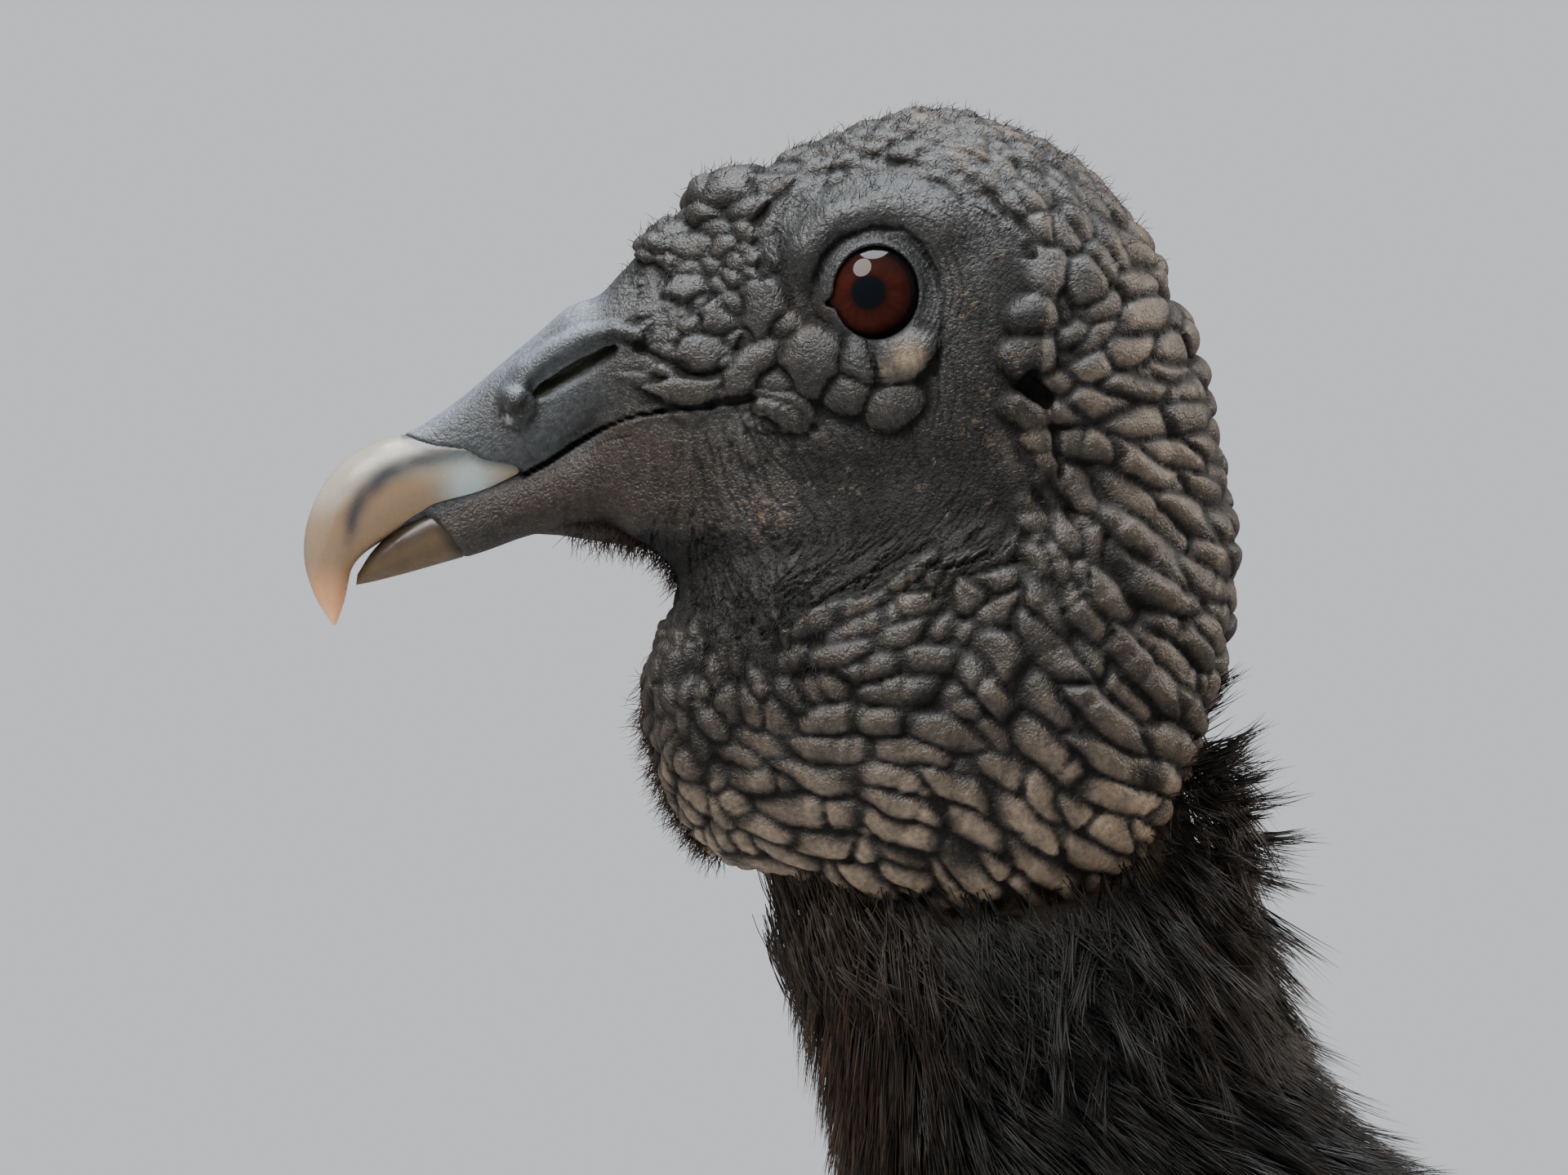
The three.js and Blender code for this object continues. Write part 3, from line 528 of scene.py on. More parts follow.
def fold_seeds(points, normals, allowed):
    """Spreads folds over the surface so that they fill it, and returns where and how they lie."""
    length, width, turn, height = fold_at(points[:, 1], points[:, 2])
    height = height * (1.5 + 0.35 * smooth(points[:, 1], 24, 34)) * (0.3 + 0.7 * smooth(width, 1.9, 2.9))
    length, width = FOLD_STRETCH[0] * length, FOLD_STRETCH[1] * width
    along = along_side_view(normals, turn)
    across = np.cross(normals, along)
    tree = tree_of(points)
    free = allowed.copy()
    chosen = []
    for k in rng.permutation(len(points)):
        if not free[k]:
            continue
        chosen.append(k)
        own = FOLD_ROOM * rng.uniform(0.76, 1.16)
        reach = own * length[k]
        near = np.array([i for _, i, _ in tree.find_range(Vector(points[k]), reach)], int)
        offset = points[near] - points[k]
        taken = np.hypot(offset @ along[k] / reach, offset @ across[k] / (own * width[k])) < 1
        free[near[taken]] = False
    # each fold moves to the middle of the places that are nearest to it
    inside = np.flatnonzero(allowed)
    places = points[inside]
    owner, best = nearest_cells(places, points[chosen], along[chosen], across[chosen], length[chosen],
                                width[chosen])
    has = owner >= 0
    count = np.bincount(owner[has], minlength=len(chosen))
    total = np.stack([np.bincount(owner[has], places[has, k], len(chosen)) for k in range(3)], 1)
    centres = np.where((count > 2)[:, None], total / count.clip(1)[:, None], points[chosen])
    # small beads fill what's left between the folds
    gap = np.flatnonzero(best > FOLD_ROOM)
    size = 0.5 * width[inside][gap]
    beads = []
    for k in rng.permutation(len(gap)):
        if size[k] < BEAD_LEAST:
            continue
        beads.append(k)
        size[np.linalg.norm(places[gap] - places[gap[k]], axis=1) < 0.9 * size[k]] = 0
    bead = inside[gap[beads]]
    size = 0.5 * width[bead]
    return (np.concatenate([centres, points[bead]]), np.concatenate([across[chosen], across[bead]]),
            np.concatenate([along[chosen], along[bead]]), np.concatenate([length[chosen], 1.25 * size]),
            np.concatenate([width[chosen], size]), np.concatenate([height[chosen], 0.55 * height[bead]]))


class Folds:
    """Rounded folds packed side by side: at every grid point the nearest fold and the next one."""

    def __init__(self, field, waver):
        self.field = field
        self.waver = waver
        self.axes = field.axes()
        self.nearest = np.full(field.shape, FOLD_EDGE, np.float32)
        self.second = np.full(field.shape, FOLD_EDGE, np.float32)
        self.tall = np.zeros(field.shape, np.float32)

    def add(self, centre, along, across, length, width, height, fold_rng, lobes=1.2):
        field = self.field
        reach = 0.9 * length
        low = np.clip(np.floor((centre - reach) / field.step).astype(int) - field.first, 0, field.shape)
        high = np.clip(np.ceil((centre + reach) / field.step).astype(int) - field.first + 1, 0, field.shape)
        if np.any(high - low < 2):
            return
        part = tuple(slice(a, b) for a, b in zip(low, high))
        x = self.axes[0][part[0]] - centre[0] + self.waver[0][part]
        y = self.axes[1][:, part[1]] - centre[1] + self.waver[1][part]
        z = self.axes[2][:, :, part[2]] - centre[2]
        bend, lean, uneven = fold_rng.normal(0, (0.02, 0.25, 0.12))
        u = x * along[0] + y * along[1] + z * along[2]
        v = x * across[0] + y * across[1] + z * across[2] + bend * u * u
        out = np.cross(along, across)
        w = x * out[0] + y * out[1] + z * out[2]
        wide = width * (1 + uneven * np.clip(u / length, -0.6, 0.6))
        value = np.sqrt((u / length) ** 2 + (v / wide) ** 2 + (w / (1.3 * width)) ** 2)
        value = value.astype(np.float32)
        tall = np.full(value.shape, height, np.float32)
        for _ in range(int(lobes * (length / width + fold_rng.uniform(-0.9, 0.6)))):
            place = fold_rng.uniform(-0.42, 0.42) * length
            deep = fold_rng.uniform(0.08, 0.34) * height
            tall -= deep * np.exp(-((u + lean * v - place) / (0.05 * length + 0.15)) ** 2)
        old = self.nearest[part]
        closer = value < old
        self.second[part] = np.minimum(self.second[part], np.where(closer, old, value))
        self.tall[part] = np.where(closer, tall, self.tall[part])
        self.nearest[part] = np.where(closer, value, old)

    def height(self):
        """How high the folds stand over the ground between them."""
        inward = np.clip((self.second - self.nearest) / FOLD_SHOULDER, 0, 1)
        dome = np.sqrt(np.clip(1 - (self.nearest / FOLD_EDGE) ** 2, 0, 1))
        pillow = np.sqrt(1 - (1 - inward) ** 2) * (dome > 0)
        return FOLD_RISE * self.tall * (FOLD_DOME * dome + (1 - FOLD_DOME) * pillow)

    def gap(self):
        """0 halfway between two folds and more on either side."""
        return np.where(self.nearest < FOLD_EDGE, self.second - self.nearest, 0.25)


def boundary_upper(y, z):
    """Above 0 where the upper bill is horn, below where it's leathery skin."""
    return np.interp(y, *UPPER_HORN_EDGE) - z


def boundary_lower(y, z):
    """The same for the lower bill."""
    backs, heights = LOWER_HORN_EDGE
    return np.interp(z, heights, backs) - y


class HeadGrid(Field):
    """The grid the head is sculpted on, in millimetres from the eye."""

    def __init__(self):
        super().__init__(*HEAD_BOX, HEAD_STEP)
        x, self.y, self.z = self.axes()
        self.side = np.abs(x)
        self.flat = np.meshgrid(self.y[0, :, 0], self.z[0, 0, :], indexing="ij")
        self.band = int(8 / HEAD_STEP)

    def solid(self, name, grow):
        """Distances to a CAD node."""
        points, triangles = node_surface(name, grow)
        return self.from_surface(points - ORIGIN, triangles, self.band)

    def line(self, points):
        """Distances in the side view to a line through some points."""
        return polyline_distance(*self.flat, points)[None]

    def rough(self, width, height=1.0):
        """Random values, smooth over width millimetres."""
        values = blurred(rng.standard_normal(self.shape).astype(np.float32), width / HEAD_STEP)
        return height * values / values.std()


def with_bill_skin(grid, head):
    """The head with the leathery base of the bill and the bare skin along the jaw."""
    for stations, steps, boundary in ((UPPER_BILL, 90, boundary_upper), (LOWER_BILL, 60, boundary_lower)):
        points, walls, ends = bill_surface(stations, steps, 48)
        bill = grid.from_surface(points, triangulated(walls, ends), grid.band)
        sunk = 1.3 * smooth(boundary(*grid.flat), -0.3, 0.9) - 0.12
        head = soft_min(head, np.maximum(bill + sunk[None], -59 - grid.y), 2.2)
    jaw = np.sqrt(grid.line(JAW) ** 2 + (0.55 * grid.side) ** 2) - 1.7
    return soft_min(head, jaw, 1.5)


def with_swellings(grid, head, rough):
    """The head with nostril rolls and knobs, the chin's loose edge, forehead and brows."""
    roll = np.sqrt(grid.line(NOSTRIL_ROLL) ** 2 + (head + 0.1) ** 2) - 1.4
    head = soft_min(head, roll, 0.5)
    (back, up), (long, high) = NOSTRIL_KNOB["place"], NOSTRIL_KNOB["reach"]
    knob = ((grid.y - back) / long) ** 2 + ((grid.z - up) / high) ** 2
    knob = np.sqrt(knob + ((head + 0.4) / NOSTRIL_KNOB["height"]) ** 2)
    head = soft_min(head, (knob - 1) * 1.8 + 0.22 * rough, 0.4)
    chin = np.sqrt(grid.line(CHIN) ** 2 + (0.8 * grid.side) ** 2) - 1.3
    head = soft_min(head, chin, 1.2)
    for (back, up), reach, wide in BOSSES:
        boss = ((grid.y - back) / reach) ** 2 + ((grid.z - up) / reach) ** 2 + (grid.side / wide) ** 2
        head = soft_min(head, (np.sqrt(boss) - 1) * reach, 1.6)
    brow = np.sqrt(grid.line(BROW) ** 2 + (grid.side - BROW_SIDE) ** 2) - 2.6
    return soft_min(head, brow, 5)


def fold_ground(grid, ground, rows, knob_centres):
    """Points of the surface, their normals, and at which of them a fold may start."""
    points, _ = grid.surface(ground)
    points = points[rng.random(len(points)) < 0.36 * (HEAD_STEP / 0.45) ** 2]
    x, y, z = points.T
    allowed = (np.hypot(y / 7.2, z / 7.4) > 1) | (np.abs(x) < 9)
    allowed &= (y > -32) & (z > -82)
    allowed &= fold_at(y, z)[1] > WRINKLE_WIDTH
    for centre, (back, up, length, width, turn, _) in zip(knob_centres, rows):
        turn = math.radians(turn)
        dy, dz = y - back, z - up
        u = dy * math.cos(turn) - dz * math.sin(turn)
        v = dy * math.sin(turn) + dz * math.cos(turn)
        inside = np.hypot(u / (0.5 * length + 0.3), v / (0.5 * width + 0.3)) < 1
        allowed &= ~(inside & (x * centre[0] > 0))
    return points, gradient(grid, ground, points), allowed


def packed_folds(grid, ground):
    """All folds and knobs of the head, on the ground between them."""
    rows, sides = knob_rows()
    knobs = project_side(grid, ground, rows[:, 0], rows[:, 1], sides)
    seeds = fold_seeds(*fold_ground(grid, ground, rows, knobs))
    folds = Folds(grid, [grid.rough(1.6, 0.48) for _ in range(2)])
    fold_rng = np.random.default_rng(SEED + 1)
    vary = rng.uniform(0.68, 1.22, len(seeds[0]))
    for centre, across, along, length, width, height, own in zip(*seeds, vary):
        folds.add(centre, along, across, length, width, height * own, fold_rng)
    normals = gradient(grid, ground, knobs)
    along = along_side_view(normals, np.radians(rows[:, 4]))
    across = np.cross(normals, along)
    for k, (_, _, length, width, _, height) in enumerate(rows):
        folds.add(knobs[k], along[k], across[k], 1.2 * length, 1.2 * width, 1.35 * height, fold_rng, 0)
    return folds


def with_lids(grid, head):
    """The head with lids round the eyeballs, creases in the face and the eyes' openings."""
    ball = np.sqrt((grid.side - EYE_OUT) ** 2 + grid.y ** 2 + grid.z ** 2)
    head = soft_min(head, ball - LID_RADIUS, 1.3)
    for line, wide, deep in CREASES:
        groove = np.exp(-(grid.line(line) / (0.6 * wide)) ** 2)
        head += (deep * groove) * smooth(grid.side, 1.5, 4)
    flat_y, flat_z = grid.flat
    across, high = EYE_OPENING["across"], EYE_OPENING["high"]
    opening = (np.hypot(flat_y / across, flat_z / high) - 1) * across
    corner_y, corner_z = EYE_OPENING["corner"]
    t = np.clip((flat_y * corner_y + flat_z * corner_z) / (corner_y ** 2 + corner_z ** 2), 0, 1)
    corner = np.hypot(flat_y - t * corner_y, flat_z - t * corner_z) - (4.4 - 4.1 * t)
    cut = np.maximum(np.minimum(opening, corner)[None], EYE_OUT - grid.side)
    return -soft_min(-head, cut, 0.5)


def with_openings(grid, head, base, rough):
    """The head with nostrils and ears cut into it."""
    inside = np.clip(-base, 0, NOSTRIL["depth"])
    turned = grid.z - NOSTRIL["climb"] * inside
    (front_y, front_z), (back_y, back_z) = NOSTRIL["front"], NOSTRIL["back"]
    long_y, long_z = back_y - front_y, back_z - front_z
    t = (grid.y - front_y) * long_y + (turned - front_z) * long_z
    t = np.clip(t / (long_y ** 2 + long_z ** 2), 0, 1)
    slot = np.hypot(grid.y - front_y - t * long_y, turned - front_z - t * long_z)
    slot = slot - NOSTRIL["half"] * (0.4 + 1.1 * np.sqrt(t * (1 - t))) + 0.14 * inside + 0.10 * rough
    head = -soft_min(-head, np.maximum(slot, -NOSTRIL["depth"] - base), 0.35)
    pit = grid.line((EAR["front"], EAR["back"])) - EAR["half"]
    return -soft_min(-head, np.maximum(pit + 0.5 * rough, -(base + EAR["depth"])), 2.0)


def head_field():
    """The head's distance field with everything that's sculpted on it, and the smooth shape below."""
    grid = HeadGrid()
    covered = grid.solid("neck_feathered", 0) + COAT_DEPTH
    base = np.minimum(np.minimum(grid.solid("head", 0.25), grid.solid("neck_bare", 0.25)), covered)
    base = grid.renewed(blurred(base, 1.5 / HEAD_STEP), grid.band)
    base = with_bill_skin(grid, base)
    rough = grid.rough(1.2)
    base = with_swellings(grid, base, rough)
    flat_y, flat_z = grid.flat
    height = fold_at(flat_y.reshape(-1), flat_z.reshape(-1))[3].reshape(flat_y.shape)
    bare = smooth(flat_y, -38, -33) * smooth(flat_y + 0.35 * flat_z, -43, -37)
    ground = base + (1.05 * height * bare)[None]
    folds = packed_folds(grid, ground)
    rise = blurred(folds.height(), 0.5)
    head = ground - rise + 0.09 * rough * smooth(rise, 0.2, 1)
    head = with_openings(grid, with_lids(grid, head), base, rough)
    return grid, head, base, folds.gap(), covered


def gradient(field, values, points):
    """Which way the field grows at each point."""
    steps = np.eye(3) * field.step
    slopes = [field.sample(values, points + s) - field.sample(values, points - s) for s in steps]
    return unit(np.stack(slopes, 1))


def project_side(field, values, y, z, sides):
    """Where lines across the head at y, z first meet the surface, from the side given by sides."""
    reach = np.arange(33, 0, -0.25)
    found = np.zeros((len(y), 3))
    for k in range(len(y)):
        line = np.stack([sides[k] * reach, np.full_like(reach, y[k]), np.full_like(reach, z[k])], 1)
        inside = np.flatnonzero(field.sample(values, line) < 0)
        found[k] = line[inside[0]] if len(inside) else (sides[k] * 5, y[k], z[k])
    return found


# ---- skin of the head: its fine relief and colours -----------------------------------------------------
FACE = {"low": (-44, -38), "high": (15, 12), "side": 3.0}  # refined: back and up from, to
FLOW_STEP = 0.18


class Flow:
    """Two kinds of noise drawn out along the wrinkles, over the side view of one side of the head."""

    def __init__(self, seed):
        self.first = np.array([-62.0, -88.0])
        shape = (np.array([58.0, 28.0]) - self.first) / FLOW_STEP
        shape = tuple(shape.astype(int))
        coarse = 6
        lines = (np.arange(0, n + coarse, coarse) * FLOW_STEP for n in shape)
        y, z = np.meshgrid(*(start + line for start, line in zip(self.first, lines)), indexing="ij")
        _, _, turn, _ = fold_at(y.reshape(-1), z.reshape(-1))
        turn = turn.reshape(y.shape)
        i, k = np.meshgrid(*(np.arange(n) for n in shape), indexing="ij")
        where = (i // coarse, k // coarse)
        dy, dz = np.cos(turn)[where], -np.sin(turn)[where]
        source = np.random.default_rng(seed).standard_normal(shape).astype(np.float32)
        self.fine = self.drawn(flat_blur(source, 1.0), i, k, dy, dz, 9)
        self.broad = self.drawn(flat_blur(source[::-1].copy(), 2.6), i, k, dy, dz, 22)

    def drawn(self, source, i, k, dy, dz, steps):
        total = source.copy()
        for way in (1, -1):
            place = np.stack([i, k]).astype(np.float32)
            last = (i, k)
            for _ in range(steps):
                place[0] += way * dy[last]
                place[1] += way * dz[last]
                last = (np.clip(np.rint(place[0]).astype(int), 0, source.shape[0] - 1),
                        np.clip(np.rint(place[1]).astype(int), 0, source.shape[1] - 1))
                total += source[last]
        return total / total.std()

    def look_up(self, values, y, z):
        return between(values, (np.stack([y, z], 1) - self.first) / FLOW_STEP)


def flat_blur(values, radius):
    return blurred(values[..., None], radius)[..., 0]


def refined(points, quads, chosen):
    """Cuts the chosen quads in four; their neighbours take the new corners on their edges."""
    edges = np.stack([quads, np.roll(quads, -1, axis=1)], axis=2)
    low, high = edges.min(2), edges.max(2)
    key = low.astype(np.int64) * len(points) + high
    split = np.unique(key[chosen])
    middle = (points[split // len(points)] + points[split % len(points)]) / 2
    centre = points[quads[chosen]].mean(1)
    slot = np.searchsorted(split, key).clip(0, len(split) - 1)
    has = split[slot] == key
    new = len(points) + slot
    centre_index = len(points) + len(split) + np.arange(len(centre))
    a, b, c, d = quads[chosen].T
    ab, bc, cd, da = new[chosen].T
    small = np.concatenate([np.stack(q, 1) for q in ((a, ab, centre_index, da), (ab, b, bc, centre_index),
                                                     (centre_index, bc, c, cd), (da, centre_index, cd, d))])
    rest = ~chosen
    groups = {4: [small, quads[rest & ~has.any(1)]]}
    for face in np.flatnonzero(rest & has.any(1)):
        corners = []
        for k in range(4):
            corners.append(quads[face, k])
            if has[face, k]:
                corners.append(new[face, k])
        groups.setdefault(len(corners), []).append(np.array([corners]))
    return np.concatenate([points, middle, centre]), [np.concatenate(g) for g in groups.values()]


def set_colours(mesh, name, colours):
    layer = mesh.attributes.new(name, "FLOAT_COLOR", "POINT")
    full = np.ones((len(mesh.vertices), 4), np.float32)
    full[:, :3] = colours
    layer.data.foreach_set("color", full.reshape(-1))


def mixed(colours, new, share):
    return colours + (np.array(new) - colours) * share[:, None]


def blob(y, z, place, reach):
    return np.exp(-((y - place[0]) ** 2 + (z - place[1]) ** 2) / (2 * reach ** 2))


# Colours as the light leaves them, before any gloss, except the painted ones: the cere's sky sheen, the shade
# of the grooves and the lit wall of the nostril.
SLATE = (0.0275, 0.0272, 0.0275)
DUST = (0.150, 0.108, 0.073)
GROOVE_SHADE = (0.0040, 0.0032, 0.0026)
FELT = (0.0062, 0.0044, 0.0030)
CERE = (0.056, 0.063, 0.071)
CERE_SKY_SHEEN = (0.24, 0.28, 0.33)
MANDIBLE = (0.038, 0.028, 0.022)
LID = (0.030, 0.032, 0.035)
TAN = (0.33, 0.25, 0.17)
SCURF = (0.13, 0.135, 0.14)
STRAW = (0.15, 0.095, 0.050)
KNOB_DARK = (0.020, 0.016, 0.013)
KNOB_PALE = (0.30, 0.30, 0.30)
LID_CORNER = (0.045, 0.032, 0.024)
EAR_PATCH = (0.10, 0.078, 0.058)
CHEEK_RUST = (0.26, 0.15, 0.085)
NOSTRIL_WALL_PAINTED_LIGHT = (0.075, 0.080, 0.062)


def head_colours(points, normals, height, hollow, gap):
    """The skin's colours: slate grey, dusty brown on the crests that also serves as painted highlight, and
    painted shade near black in the grooves.
    """
    x, y, z = points.T
    side = np.abs(x)
    mottle = noise_a(points / 3.1)
    speck = noise_b(points / 0.55)
    crest = smooth(hollow, -0.02, 0.30)
    folds = smooth(fold_at(y, z)[1], 1.9, 3)
    plain = 1 - folds
    dust = smooth(noise_c(points / 5.3) + 0.5 * speck + 0.5 * noise_a(points / 1.3), 0.0, 1.3)
    nape = smooth(y, 24, 34)
    low = smooth(-z, 42, 70)
    colours = shaded(SLATE, 1 + 0.16 * mottle + 0.14 * speck)
    brown = 0.26 * smooth(-z, 2, 22) + 0.34 * nape + 0.40 * low
    colours = mixed(colours, np.array(DUST) * 0.42, np.clip(brown, 0, 0.85))
    # dusty brown on the fold crests, laid on strongly so that it is painted highlight as well as dust
    dusty = np.clip(0.10 + 0.5 * dust + 0.3 * nape + 0.25 * low, 0, 0.85)
    colours = mixed(colours, DUST, folds * crest * dusty)
    # painted bounce light: the pouch's lower rim much lighter; also a little lighter on the crown and darker
    # over the upper pouch
    rim = smooth(-z, 50, 66)
    top = smooth(z, 13, 19)
    upper = smooth(-z, 30, 40) * (1 - low)
    colours = colours * (1 + 1.15 * rim + 0.25 * top - 0.12 * upper)[:, None]
    colours = mixed(colours, DUST, 0.5 * top * dust * (1 - crest))

    # short dark felt on cheek, temple and chin, with straw-coloured flecks; under the chin and on the throat
    # the dark is painted shade as well
    felt = smooth(-z + 0.15 * y, 15, 20) * smooth(z, -47, -41) * smooth(y, -15, -6) * plain
    felt *= 1 - 0.6 * crest * smooth(-z, 28, 32)
    temple = 0.95 * smooth(y, 7.5, 11) * plain * smooth(-z, -13, -4) * (0.8 + 0.3 * mottle)
    chin = 0.9 * smooth(y, -33, -29) * smooth(-z, 27, 31) * (1 - smooth(y, -10, -3)) * plain
    felt = np.maximum(np.maximum(felt, temple), chin)
    colours = mixed(colours, FELT, felt * (0.86 + 0.14 * mottle))
    fleck = noise_b(points / 0.35) + 0.8 * noise_a(points / 1.7) + 0.4 * smooth(-z, 30, 14)
    colours = mixed(colours, STRAW, felt * 0.55 * smooth(fleck, 0.95, 1.35))

    # the bill's leathery skin and the lids
    jaw = smooth(-y, 15, 24) * smooth(-z - 0.3 * (y + 30), 15, 17) * (1 - smooth(-z, 27, 30))
    colours = mixed(colours, MANDIBLE, jaw)
    bill = smooth(-y, 30, 38) * (1 - smooth(-z - 0.45 * (-y - 30), 15.5, 17.5))
    colours = mixed(colours, CERE, bill * (0.9 + 0.1 * mottle))
    # painted sheen: the sky's reflection on the cere's upward-facing surfaces
    colours = mixed(colours, CERE_SKY_SHEEN, bill * smooth(normals[:, 2], 0.4, 0.95) * 0.75)
    colours = mixed(colours, LID, smooth(9.2 - np.hypot(y, z), 0, 2) * (side > 10))

    # marks: colour, place back and up from the eye, reach, and how strongly it shows
    marks = (
        (KNOB_DARK, (-44, -13.6), 1.7, 0.85 * (side > 2.5)),
        (LID_CORNER, (-8.6, -2.6), 2.6, 0.7 * (side > 8)),
        (TAN, (4.0, -7.8), 1.35, smooth(hollow, -0.1, 0.2) * (0.75 + 0.25 * speck)),
        (TAN, (0.6, -9.6), 0.9, 0.4 * crest),
        (EAR_PATCH, (18, -18.5), 2.3, 0.8),
        (SCURF, (-14.6, -15.4), 1.9, smooth(speck + mottle, 0.0, 1.2) * 0.8),
        (SCURF, (-29, -13.4), 1.5, smooth(speck, 0.2, 0.7) * 0.8),
        (KNOB_PALE, (-45.6, -15.6), 0.9, smooth(speck, 0.1, 0.5) * (side > 2.5)),
        (CHEEK_RUST, (-13.5, -26.6), 1.6, smooth(speck, -0.2, 0.4) * 0.7),
    )
    for colour, place, reach, shown in marks:
        colours = mixed(colours, colour, blob(y, z, place, reach) * shown)

    # painted shade between the folds and in the hollows of nostril and ear, and painted light with a greenish
    # reflection on the nostril's lower inner wall
    face = smooth(-y, -14, -8) * smooth(z, -22, -18)
    line = (1 - smooth(gap, 0.04, 0.24)) * (0.95 - 0.45 * face)
    deep = np.maximum(smooth(-hollow, -0.12 + 0.08 * face, 0.26), folds * line)
    colours = mixed(colours, GROOVE_SHADE, deep * 0.95)
    colours = mixed(colours, GROOVE_SHADE, smooth(-height, 1.6, 3.0) * 0.8)
    # painted light: the nostril's lower inner wall, lit and with a green reflection
    nostril = smooth(-height, 0.5, 1.2) * blob(y, z, (-36.8, -10), 4.6) * smooth(normals[:, 2], -0.1, 0.5)
    return mixed(colours, NOSTRIL_WALL_PAINTED_LIGHT, 0.9 * nostril).clip(0.002, 0.9)


class HeadSkin:
    """The sculpted head: its surface, and what its colours need to know about it."""

    def __init__(self):
        self.field, self.head, self.base, self.gap, self.covered = head_field()
        self.flows = Flow(SEED + 5), Flow(SEED + 6)
        self.soft_head = blurred(self.head, 0.9 / self.field.step)

    def relief(self, points, normals):
        """The depth of the fine creases at each point."""
        x, y, z = points.T
        _, width, _, height = fold_at(y, z)
        fine_height = np.where(width < WRINKLE_WIDTH + 0.05, height, 0.12) * (1 - 0.7 * smooth(-y, 28, 34))
        fine_height *= 0.55 + 0.75 * smooth(-z, 27, 32)
        creases = np.zeros(len(points))
        for flow, which in zip(self.flows, (x > 0, x <= 0)):
            broad = flow.look_up(flow.broad, y[which], z[which])
            fine = flow.look_up(flow.fine, y[which], z[which])
            creases[which] = 0.34 * np.exp(-(broad / 0.22) ** 2) + 0.42 * np.exp(-(fine / 0.35) ** 2)
            creases[which] -= 0.16 * broad
        width, depth = FINE_CREASE["width"], FINE_CREASE["depth"]
        lines = np.min([polyline_distance(y, z, line) for line in FINE_CREASES], axis=0)
        drawn = depth * np.exp(-(lines / width) ** 2) * (1 - 0.6 * smooth(-y, 28, 40))
        reach = np.hypot(y, z) + 0.25 * noise_a(points / 2.5)
        rings = depth * np.sum([np.exp(-((reach - ring) / width) ** 2) for ring in LID_WRINKLES], axis=0)
        rings *= smooth(y - 0.4 * z, -1, 3) * smooth(-z, -9, -4) * (np.abs(x) > 8)
        lobes = np.maximum(blob(y, z, (3.2, -7.8), 2.2), blob(y, z, (-8.2, -8.2), 3.0))
        seen = (1 - lobes) * smooth(np.abs(normals[:, 0]), 0.05, 0.3)
        return np.maximum(np.maximum(creases * fine_height, drawn), rings) * seen

    def surface(self):
        points, quads = self.field.surface(self.head)
        points, quads = compact(points, outside_only(points, quads))
        self.places = points
        middle = points[quads].mean(1)
        chosen = (middle[:, 1:] > FACE["low"]).all(1) & (middle[:, 1:] < FACE["high"]).all(1)
        chosen &= np.abs(middle[:, 0]) > FACE["side"]
        old_count = len(points)
        faces = [quads]
        points, faces = refined(points, quads, chosen)
        normals = gradient(self.field, self.head, points)
        points[old_count:] -= self.field.sample(self.head, points[old_count:])[:, None] * normals[old_count:]
        return points - self.relief(points, normals)[:, None] * normals + ORIGIN, faces

    def colours(self, points):
        """Colours of the finished skin at scene points on the head."""
        points = points - ORIGIN
        normals = gradient(self.field, self.head, points)
        hollow = self.field.sample(self.soft_head, points) - 0.7 * self.relief(points, normals)
        colours = head_colours(points, normals, self.field.sample(self.base, points), hollow,
                               self.field.sample(self.gap, points))
        return mixed(colours, BODY_SKIN, 1 - smooth(self.field.sample(self.covered, points), 0.5, 2.0))


# ---- materials --------------------------------------------------------------------------------------------
class Nodes:
    """Adds and links the nodes of one material."""

    def __init__(self, name):
        self.material = bpy.data.materials.new(name)
        self.material.use_nodes = True
        self.tree = self.material.node_tree
        self.shader = self.tree.nodes["Principled BSDF"]

    def add(self, kind, values=None, inputs=None):
        node = self.tree.nodes.new("ShaderNode" + kind)
        for name, value in (values or {}).items():
            setattr(node, name, value)
        for name, value in (inputs or {}).items():
            self.put(node, name, value)
        return node

    def put(self, node, name, value):
        if isinstance(value, bpy.types.NodeSocket):
            self.tree.links.new(value, node.inputs[name])
        elif isinstance(value, bpy.types.Node):
            self.tree.links.new(value.outputs[0], node.inputs[name])
        else:
            node.inputs[name].default_value = value

    def set(self, **inputs):
        for name, value in inputs.items():
            self.put(self.shader, name.replace("_", " "), value)

    def colour_of(self, attribute):
        return self.add("Attribute", {"attribute_name": attribute}).outputs["Color"]

    def value_of(self, attribute):
        return self.add("Attribute", {"attribute_name": attribute}).outputs["Fac"]

    def noise(self, scale, detail=3, roughness=0.55):
        place = self.add("TexCoord").outputs["Object"]
        return self.add("TexNoise", inputs={"Vector": place, "Scale": scale, "Detail": detail,
                                            "Roughness": roughness}).outputs["Fac"]

    def product(self, first, second):
        return self.add("Math", {"operation": "MULTIPLY"}, {0: first, 1: second})

    def bump(self, height, distance, strength, normal=None):
        inputs = {"Height": height, "Distance": distance, "Strength": strength}
        if normal is not None:
            inputs["Normal"] = normal
        return self.add("Bump", inputs=inputs).outputs["Normal"]

    def ramp(self, value, low, high, to_low, to_high):
        return self.add("MapRange", inputs={"Value": value, "From Min": low, "From Max": high,
                                            "To Min": to_low, "To Max": to_high}).outputs["Result"]


